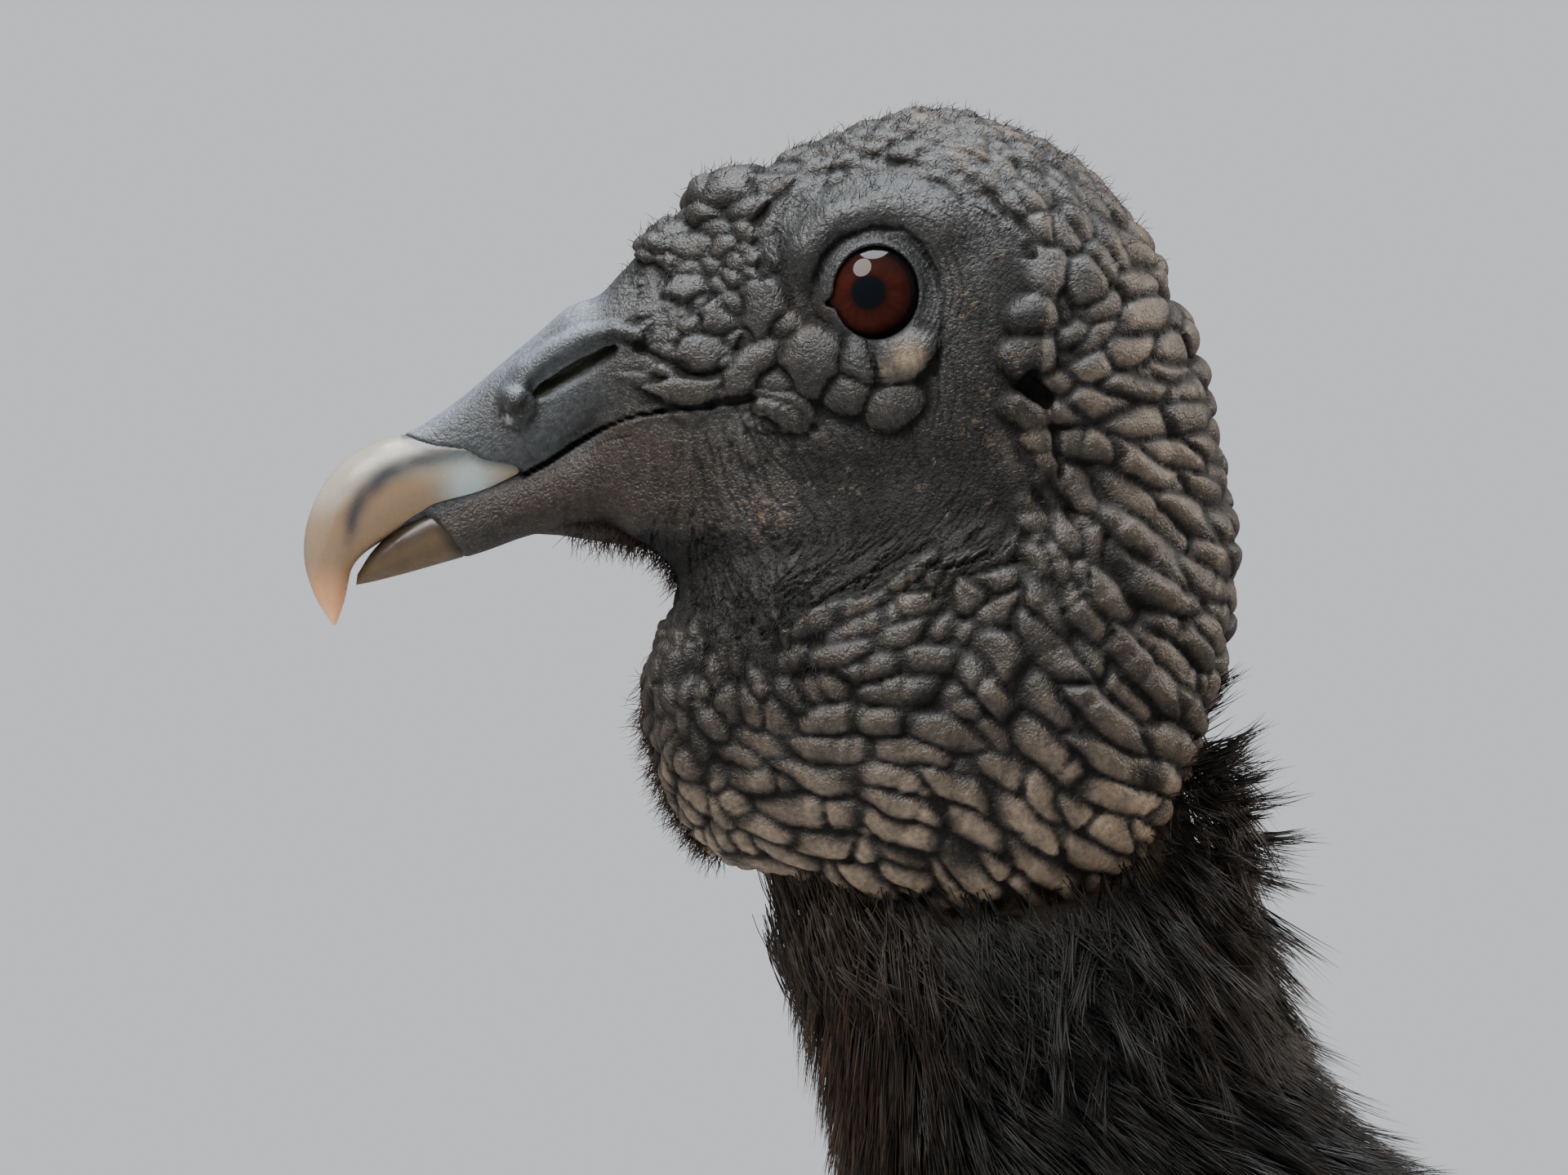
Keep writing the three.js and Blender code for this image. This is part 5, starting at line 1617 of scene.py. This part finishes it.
def build_neck_plumage(head_skin):
    """Fine hair-like feathers in locks: a close coat, a collar under the pouch and a ruff at the nape."""
    ground = Ground(["neck_feathered", "neck_bare"], 1.2)
    feathered = Ground(["neck_feathered"], 1.2, 0)
    bare = Ground(["neck_bare"], 1.2, 0)
    groups = (neck_coat(ground, feathered, bare), neck_collar(ground, feathered),
              neck_ruff(ground, feathered))
    lines, ups = (np.concatenate(parts) for parts in zip(*groups))
    free = clear_of_rim(lines, head_skin)
    lines, ups = lines[free], ups[free]
    outline = STRAND_WIDTH * np.array([0.75, 1.0, 0.9, 0.62, 0.08])
    wide = outline * rng.uniform(0.7, 1.3, (len(lines), 1))
    rings = cross_sections(lines, ups, wide, wide * 0.6, 3)
    colours = tone(len(lines), STRAND_STEPS, BLACK, RUST, 0.3, 0.25)
    back, up = (lines[:, 0] - ORIGIN)[:, 1:].T
    # painted light: strands lighter at the front of the neck and at the nape, where the light falls on them
    painted_front_nape_light = 2.9 * smooth(-back, -12, 4) + 0.9 * smooth(back, 28, 40) * smooth(up, -100, -80)
    colours *= 1 + painted_front_nape_light[:, None, None] * [1.5, 1.25, 1.1]
    material = coat_material("neck_plumage", 0.45)
    return many_tubes("neck_plumage", rings, colours, lines[:, 0], material)


def barb_marks(lengths, wide):
    """How far along the pattern of barbs each corner of six-sided vanes lies."""
    share = np.linspace(0, 1, wide.shape[1])[None, :, None]
    slant = 0.8 * np.abs(np.cos(ring_angles(6))) * wide[..., None]
    return lengths[:, None, None] * share - slant + BARB_TURNS * rng.random((len(lengths), 1, 1))


VANE_CAMBER = 0.06
VANE_THICK = 0.12


def vane_rings(lines, ups, width, steps):
    """Broad feathers with round tips, from their centre lines; and their half-widths."""
    share = np.linspace(0, 1, steps + 1)
    outline = np.sqrt(np.clip(1 - (np.abs(share - 0.55) / 0.47) ** 2.6, 0.0, 1))
    outline[0] = 0.25
    outline[-1] = 0.16
    wide = 0.58 * width[:, None] * outline[None]
    depth = np.full_like(wide, VANE_THICK)
    return cross_sections(lines, ups, wide, depth, 6, VANE_CAMBER), wide


def build_contour_plumage():
    """Feathers of breast, back, belly, rump and thighs, lying over one another like tiles."""
    ground = Ground(["neck_feathered", "trunk", "thigh_left", "thigh_right"], 2.0)
    neck_end = ORIGIN[2] + NECK_END

    def size(points):
        low = smooth(neck_end - points[:, 2], 0, 95)
        thigh = smooth(150 - points[:, 2], 0, 40) * (np.abs(points[:, 0]) > 18)
        return (3.3 + 4.6 * low) * (1 - 0.35 * thigh)

    def allowed(points):
        return points[:, 2] < neck_end

    roots = ground.scattered(size, allowed)
    heading = spine_heading(roots)
    leg = smooth(200 - roots[:, 2], 0, 30) * (np.abs(roots[:, 0]) > 16) * (roots[:, 1] - ORIGIN[1] < 165)
    down = np.array([0, 0.42, -0.91])
    heading = heading * (1 - leg)[:, None] + down * leg[:, None] + 0.08 * rng.standard_normal(roots.shape)
    heading = unit(heading)
    spacing = size(roots)
    length = 3.4 * spacing * rng.uniform(0.85, 1.15, len(roots))
    width = 2.0 * spacing * rng.uniform(0.85, 1.15, len(roots))
    steps = 6
    lines, ups = laid(ground, roots, heading, length, -5.6, 0.5 + rng.uniform(-0.5, 0.9, len(roots)), steps)
    rings, wide = vane_rings(lines, ups, width, steps)
    colours = tone(len(roots), steps, np.array(BLACK) * 1.3, BODY_TIP, 0.22, 0.8)
    return many_tubes("body_plumage", rings, colours, roots, vane_material("body_plumage", 0.62),
                      barb_marks(length, wide))


# ---- wings and tail ---------------------------------------------------------------------------------
WING_LINE = np.array(((30, 282), (288, 111)), float)  # along the folded wing: back from the eye, height
PRIMARY_TIP = np.array((347, 71), float)
TAIL_ROOT = np.array((186, 169), float)
TAIL_SLOPE = math.radians(-36.5)
TAIL_LENGTH = 186.0
TAIL_FEATHERS = 12
WING_BLACK = (0.0125, 0.0108, 0.0092)
COVERT_TIP = (0.034, 0.026, 0.019)
FLIGHT_TIP = (0.030, 0.023, 0.017)
TAIL_TIP = (0.028, 0.021, 0.015)
# Rows of long feathers on each wing: how far along it they start, length, width, number, rise at the tip.
SECONDARY_ROWS = ((92, 70, 19, 15, 1.6), (128, 108, 24, 13, 2.2), (176, 118, 23, 9, 2.8))
PRIMARIES = 7


def wing_axis():
    flat = unit(WING_LINE[1] - WING_LINE[0])
    return np.array([0, *flat])


def wing_place(points):
    """How far along the wing each point is, and its turn round the wing's line from straight up."""
    axis = wing_axis()
    start = np.array([0, *(WING_LINE[0] + [ORIGIN[1], 0])])
    rel = points - start
    along = rel @ axis
    up = np.cross([1, 0, 0], axis)
    return along, np.degrees(np.arctan2(np.abs(rel[:, 0]), rel @ up))


def long_vanes(name, ground, roots, headings, lengths, width, start, end, steps=12, evened=4):
    """Flight feathers; the way they face is evened out along each one a few times."""
    lines, ups = laid(ground, roots, headings, lengths, start, end, steps)
    for _ in range(evened):
        ups[:, 1:-1] = unit(ups[:, :-2] + ups[:, 1:-1] + ups[:, 2:])
    share = np.linspace(0, 1, steps + 1)
    outline = np.sqrt(np.clip(1 - (np.abs(share - 0.62) / 0.40).clip(0) ** 2.4, 0, 1))
    outline = np.where(share < 0.62, 0.45 + 0.55 * smooth(share, 0, 0.4), outline)
    outline[-1] = 0.14
    wide = 0.58 * width * np.tile(outline, (len(roots), 1))
    rings = cross_sections(lines, ups, wide, np.full_like(wide, 0.2), 6, 0.05)
    colours = tone(len(roots), steps, WING_BLACK, FLIGHT_TIP, 0.12, 0.8)
    return many_tubes(name, rings, colours, roots, vane_material(name, 0.52),
                      barb_marks(lengths, wide))


def build_wing(side):
    """Coverts like small tiles at the front and long feathers in rows behind."""
    sign = 1 if side == "left" else -1
    ground = Ground([f"wing_{side}"], 1.6)
    axis = wing_axis()

    def outer(points):
        normals = ground.normal(points)
        return normals @ np.cross([1, 0, 0], axis) * 0.4 + normals[:, 0] * sign > 0.15

    def size(points):
        along, _ = wing_place(points)
        return 4.6 + 4.4 * smooth(along, 20, 110)

    def allowed(points):
        along, _ = wing_place(points)
        return (along < 150) & (along > -12) & outer(points)

    roots = ground.scattered(size, allowed)
    spacing = size(roots)
    heading = axis + 0.05 * rng.standard_normal(roots.shape)
    length = 3.4 * spacing * rng.uniform(0.9, 1.1, len(roots))
    steps = 7
    lines, ups = laid(ground, roots, heading, length, -1.2, 1.7 + rng.uniform(-0.3, 0.5, len(roots)), steps)
    rings, wide = vane_rings(lines, ups, 2.05 * spacing, steps)
    colours = tone(len(roots), steps, WING_BLACK, COVERT_TIP, 0.15, 0.9)
    pieces = many_tubes(f"coverts_{side}", rings, colours, roots, vane_material(f"coverts_{side}", 0.55),
                        barb_marks(length, wide))
    for number, (start, length, width, count, rise) in enumerate(SECONDARY_ROWS):
        angles = np.linspace(6, 112, count) + rng.normal(0, 0.8, count)
        spots = on_wing(ground, start + 6 * np.sin(np.radians(angles)), angles, sign)
        lengths = length * (1 - 0.18 * np.abs(angles - 55) / 55) * rng.uniform(0.96, 1.04, count)
        pieces += long_vanes(f"secondaries_{side}_{number + 1}", ground, spots, np.tile(axis, (count, 1)),
                             lengths, width, -0.6, rise + 0.25 * (np.arange(count) % 3))
    return pieces


def on_wing(ground, along, angles, sign):
    """Places on the wing's outer surface, found by coming in from outside at each turn."""
    axis = wing_axis()
    up = np.cross([1, 0, 0], axis)
    start = np.array([0, *(WING_LINE[0] + [ORIGIN[1], 0])])
    centre = start + along[:, None] * axis
    turn = np.radians(angles)
    out = np.sin(turn)[:, None] * np.array([sign, 0, 0]) + np.cos(turn)[:, None] * up
    reach = np.full(len(along), 96.0)
    for _ in range(60):
        reach -= np.clip(ground.distance(centre + reach[:, None] * out), -2, 8) * 0.8
    return centre + reach[:, None] * out


def build_primaries(side):
    """The longest feathers, whose tips reach past the wing."""
    sign = 1 if side == "left" else -1
    ground = Ground([f"primaries_{side}", f"wing_{side}"], 1.6)
    count = PRIMARIES
    share = np.linspace(0, 1, count)
    angles = 104 - 40 * share
    spots = on_wing(ground, 196 + 8 * share, angles, sign)
    ahead = unit(np.array([0, *unit(PRIMARY_TIP - np.array((240, 143)))]))
    lengths = 176 - 44 * share[::-1]
    drift = np.stack([np.full(count, -0.13 * sign), 0.02 * share, 0.10 - 0.15 * share], 1)
    return long_vanes(f"primaries_{side}", ground, spots, ahead + drift, lengths, 17.0, -0.8, 3.0 * share,
                      16, 0)


def build_tail():
    """Twelve feathers in a fan, the middle ones on top."""
    steps = 14
    slope = np.array([0, math.cos(TAIL_SLOPE), math.sin(TAIL_SLOPE)])
    up = np.array([0, -math.sin(TAIL_SLOPE), math.cos(TAIL_SLOPE)])
    lines, ups, roots = [], [], []
    for k in range(TAIL_FEATHERS):
        side = (2 * k + 1) / TAIL_FEATHERS - 1
        middle = 1 - abs(side)
        root = np.array([15 * side, TAIL_ROOT[0] + ORIGIN[1], TAIL_ROOT[1]])
        root = root + up * (1.8 * middle - 4.5 * side * side)
        tip = root + slope * (TAIL_LENGTH - 5 * side * side) + np.array([24 * side, 0, 0])
        share = np.linspace(0, 1, steps + 1)[:, None]
        line = root + (tip - root) * share - up * (share ** 1.5) * (1 + 7.5 * side * side)
        lines.append(line)
        ups.append(np.tile(unit(up + np.array([0.62 * side, 0, 0])), (steps + 1, 1)))
        roots.append(root)
    lines, ups, roots = np.array(lines), np.array(ups), np.array(roots)
    share = np.linspace(0, 1, steps + 1)
    outline = 0.35 + 0.65 * smooth(share, 0, 0.45)
    outline[-1] *= 0.6
    outline[-2] *= 0.95
    wide = np.tile(11.5 * outline, (TAIL_FEATHERS, 1))
    rings = cross_sections(lines, ups, wide, np.full_like(wide, 0.25), 6, 0.03)
    colours = tone(TAIL_FEATHERS, steps, WING_BLACK, TAIL_TIP, 0.15, 0.8)
    pieces = many_tubes("tail_feathers", rings, colours, roots, vane_material("tail_feathers", 0.52),
                        barb_marks(np.full(TAIL_FEATHERS, TAIL_LENGTH), wide))
    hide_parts("tail")
    return pieces


# ---- skin of body, legs and feet ------------------------------------------------------------------------
BODY_STEP = 2.4
LEG_STEP = 0.85
CLAW_STEP = 0.4
FEATHER_DEPTH = 6.0  # how far the skin lies below the body's solids
WING_DEPTH = 1.6  # and below the wings'
FLOOR_GAP = 0.02  # keeps the soles off the floor's own surface
SCALE_SIZE = 1.7  # of the small round scales
SCALE_ROW = 3.1  # from one row of the broad scales to the next
HEAD_END = -79.0  # up from the eye; below it the plumage covers the skin
LEG_TOP = 108  # over the floor; above it the thigh's feathers cover the skin
BODY_SKIN = (0.008, 0.007, 0.006)
LEG_SKIN = (0.25, 0.235, 0.21)
LEG_DIRT = (0.11, 0.085, 0.06)
CLAW_BLACK = (0.022, 0.018, 0.015)


def node_field(field, name, band, grow=0.0):
    return field.from_surface(*node_surface(name, grow=grow), band)


def body_surface():
    """The body under its plumage, with the arm's mass under each wing, up into the head."""
    field = Field((-76, ORIGIN[1] - 30, 80), (76, ORIGIN[1] + 330, ORIGIN[2] - 40), BODY_STEP)
    band = int(18 / BODY_STEP)
    parts = {name: node_field(field, name, band) for name in (
        "trunk", "neck_feathered", "neck_bare", "thigh_left", "thigh_right", "wing_left", "wing_right")}
    wings = np.minimum(parts["wing_left"], parts["wing_right"])
    body = field.renewed(blurred(np.minimum.reduce(list(parts.values())), 0.7), band)
    depth = FEATHER_DEPTH + (WING_DEPTH - FEATHER_DEPTH) * smooth(body - wings, -2.5, 0)
    body = blurred(body + depth, 1.0)
    points, quads = field.surface(body)
    return compact(points, outside_only(points, quads))


def leg_surface(side):
    """Shank and foot with their scales: rows across the front and small round ones elsewhere."""
    boxes = [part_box(f"{name}_{side}") for name in ("shank", "foot")]
    low = np.min([np.array(b[0]) for b in boxes], axis=0) / MM - 3
    high = np.max([np.array(b[1]) for b in boxes], axis=0) / MM + 6
    field = Field(low, high, LEG_STEP)
    band = int(8 / LEG_STEP)
    leg = np.minimum(*(node_field(field, f"{name}_{side}", band, 0.1) for name in ("shank", "foot")))
    leg = blurred(leg, 0.7 / LEG_STEP)
    points, quads = field.surface(leg)
    tree = tree_of(thinned(points, np.full(len(points), SCALE_SIZE)))
    relief = np.zeros(len(points))
    for k, point in enumerate(points):
        (_, _, near), (_, _, second) = tree.find_n(Vector(point), 2)
        relief[k] = min(1, (second - near) / 0.9)
    normals = gradient(field, leg, points)
    front = smooth(-normals[:, 1] + 0.8 * normals[:, 2] * (points[:, 2] < 24), 0.35, 0.7)
    across = np.where(points[:, 2] > 26, points[:, 2], points[:, 1]) / SCALE_ROW
    bars = np.abs((across % 1) - 0.5) * 2
    rows = 1 - smooth(bars, 0.72, 1.0)
    height = (1 - front) * relief + front * rows
    points = points + normals * ((height - 0.6) * 0.42)[:, None]
    points[:, 2] = np.maximum(points[:, 2], FLOOR_GAP)
    return compact(points, outside_only(points, quads))


def leg_colours(points):
    mottle = noise_a(points / 4.0) + 0.4 * noise_b(points / 0.9)
    dirt = smooth(noise_c(points / 2.2) + 0.6 * smooth(30 - points[:, 2], 0, 24), 0.3, 1.2)
    return mixed(shaded(LEG_SKIN, 1 + 0.14 * mottle), LEG_DIRT, 0.6 * dirt)


def paint_skin(skin, head_skin):
    """Colours of the whole skin, and its place in the bake map without faces torn across its seam."""
    points = read(skin.data.vertices, "co", np.float32, 3).astype(np.float64) / MM
    colours = np.tile(np.array(BODY_SKIN), (len(points), 1))
    on_head = points[:, 2] > ORIGIN[2] + HEAD_END
    colours[on_head] = head_skin.colours(points[on_head])
    on_leg = points[:, 2] < LEG_TOP
    covered = smooth(points[on_leg, 2], LEG_TOP - 10, LEG_TOP - 2)
    colours[on_leg] = mixed(leg_colours(points[on_leg]), BODY_SKIN, covered)
    set_colours(skin.data, "paint", colours)
    corner = read(skin.data.loops, "vertex_index", np.int32)
    starts = read(skin.data.polygons, "loop_start", np.int32)
    face = np.zeros(len(corner), np.int64)
    face[starts[1:]] = 1
    face = np.cumsum(face)
    place = unwrap(points)[corner]
    for axis, limit in ((0, 0.5), (1, 0.1)):
        value = place[:, axis]
        high = np.maximum.reduceat(value, starts)
        low = np.minimum.reduceat(value, starts)
        torn = (high - low > limit)[face]
        place[:, axis] = np.where(torn, np.maximum(value, high[face] - 0.01), value)
    set_bake_map(skin.data, place)


def build_claws():
    for side in ("left", "right"):
        for toe in ("middle", "inner", "outer", "hind"):
            name = f"claw_{toe}_{side}"
            low, high = (np.array(corner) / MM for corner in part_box(name))
            field = Field(low - 2, high + 2, CLAW_STEP)
            claw = blurred(node_field(field, name, 12, 0.05), 1.0)
            points, quads = field.surface(claw)
            points[:, 2] = np.maximum(points[:, 2], FLOOR_GAP)
            points, quads = compact(points, outside_only(points, quads))
            piece = add_mesh(name, points, quads)
            set_colours(piece.data, "paint", shaded(CLAW_BLACK, 1 + 0.3 * noise_a(points / 1.5)))
            piece.data.materials.append(horn_material())
            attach(piece, "root")
            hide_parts(name)


def joined(pieces):
    """One mesh from overlapping closed ones."""
    first = pieces[0]
    for other in pieces[1:]:
        modifier = first.modifiers.new("join", "BOOLEAN")
        modifier.operation = "UNION"
        modifier.solver = "MANIFOLD"
        modifier.object = other
        deps = bpy.context.evaluated_depsgraph_get()
        mesh = bpy.data.meshes.new_from_object(first.evaluated_get(deps))
        first.modifiers.clear()
        first.data = mesh
        bpy.data.objects.remove(other)
    return first


build_bill()
build_eyes()
build_claws()
head_skin = HeadSkin()
build_neck_plumage(head_skin)
build_contour_plumage()
wings = {side: build_wing(side) for side in ("left", "right")}
tips = {side: build_primaries(side) for side in ("left", "right")}
build_tail()
for side in ("left", "right"):
    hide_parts(f"wing_{side}")
    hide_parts(f"primaries_{side}")
shells = [add_mesh("skin", *head_skin.surface()), add_mesh("body", *body_surface())]
shells += [add_mesh("leg", *leg_surface(side)) for side in ("left", "right")]
build_bristles(head_skin)
skin = joined(shells)
paint_skin(skin, head_skin)
skin.data.materials.clear()
skin.data.materials.append(skin_material())
skin.data.polygons.foreach_set("material_index", np.zeros(len(skin.data.polygons), np.int32))
skin.data.polygons.foreach_set("use_smooth", np.ones(len(skin.data.polygons), bool))
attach(skin, "root")
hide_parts("head", "neck_bare", "neck_feathered", "trunk", "thigh_left", "thigh_right", "shank_left",
            "shank_right", "foot_left", "foot_right")


# ---- camera, floor and light ------------------------------------------------------------------------
PICTURE_WIDTH = 192.0  # of the close-up, at the head
PICTURE_CENTRE = np.array([0, -11.2, -35.9]) + ORIGIN
CAMERA_DISTANCE = 3000.0
BACKDROP = (0.82, 0.86, 0.90)
BACKDROP_SEEN = 0.85  # the backdrop's strength as the camera sees it
BACKDROP_LIGHT = 0.22  # and its strength as light
FLOOR_HALF = 11000.0


def aim(thing, target):
    direction = Vector(target) - thing.location
    thing.rotation_euler = direction.to_track_quat("-Z", "Y").to_euler()


def add_camera():
    camera = bpy.data.objects.new("camera", bpy.data.cameras.new("camera"))
    bpy.context.scene.collection.objects.link(camera)
    camera.data.sensor_width = 36
    camera.data.lens = 36 * CAMERA_DISTANCE / PICTURE_WIDTH
    camera.data.clip_end = 100
    camera.location = Vector((PICTURE_CENTRE + [CAMERA_DISTANCE, 0, 0]) * MM)
    aim(camera, PICTURE_CENTRE * MM)
    bpy.context.scene.camera = camera


def add_light(name, place, size, power, colour):
    light = bpy.data.objects.new(name, bpy.data.lights.new(name, "AREA"))
    bpy.context.scene.collection.objects.link(light)
    light.data.shape = "DISK"
    light.data.size = size
    light.data.energy = power
    light.data.color = colour
    light.location = Vector(place)
    aim(light, (0, -0.05, 0.3))
    return light


def add_stage():
    corners = FLOOR_HALF * np.array([[-1, -1, 0], [1, -1, 0], [1, 1, 0], [-1, 1, 0]])
    floor = add_mesh("floor", corners, np.array([[0, 1, 2, 3]]), smooth_shaded=False)
    floor.data.materials.append(floor_material())
    floor.visible_glossy = False
    world = bpy.data.worlds.new("studio")
    bpy.context.scene.world = world
    world.use_nodes = True
    background = world.node_tree.nodes["Background"]
    background.inputs["Color"].default_value = (*BACKDROP, 1)
    seen = world.node_tree.nodes.new("ShaderNodeLightPath").outputs["Is Camera Ray"]
    strength = world.node_tree.nodes.new("ShaderNodeMapRange")
    strength.inputs["To Min"].default_value = BACKDROP_LIGHT
    strength.inputs["To Max"].default_value = BACKDROP_SEEN
    world.node_tree.links.new(seen, strength.inputs["Value"])
    world.node_tree.links.new(strength.outputs["Result"], background.inputs["Strength"])
    add_light("key", (1.1, -1.2, 2.6), 1.7, 100, (1.0, 0.98, 0.94))
    add_light("sky", (-0.3, -0.2, 2.8), 1.8, 125, (0.86, 0.93, 1.0))
    add_light("rim", (-0.6, 2.2, 1.5), 1.2, 60, (1.0, 0.92, 0.82))
    add_light("fill", (2.2, 1.2, 0.5), 1.6, 6, (1.0, 0.86, 0.70)).visible_glossy = False


add_camera()
add_stage()
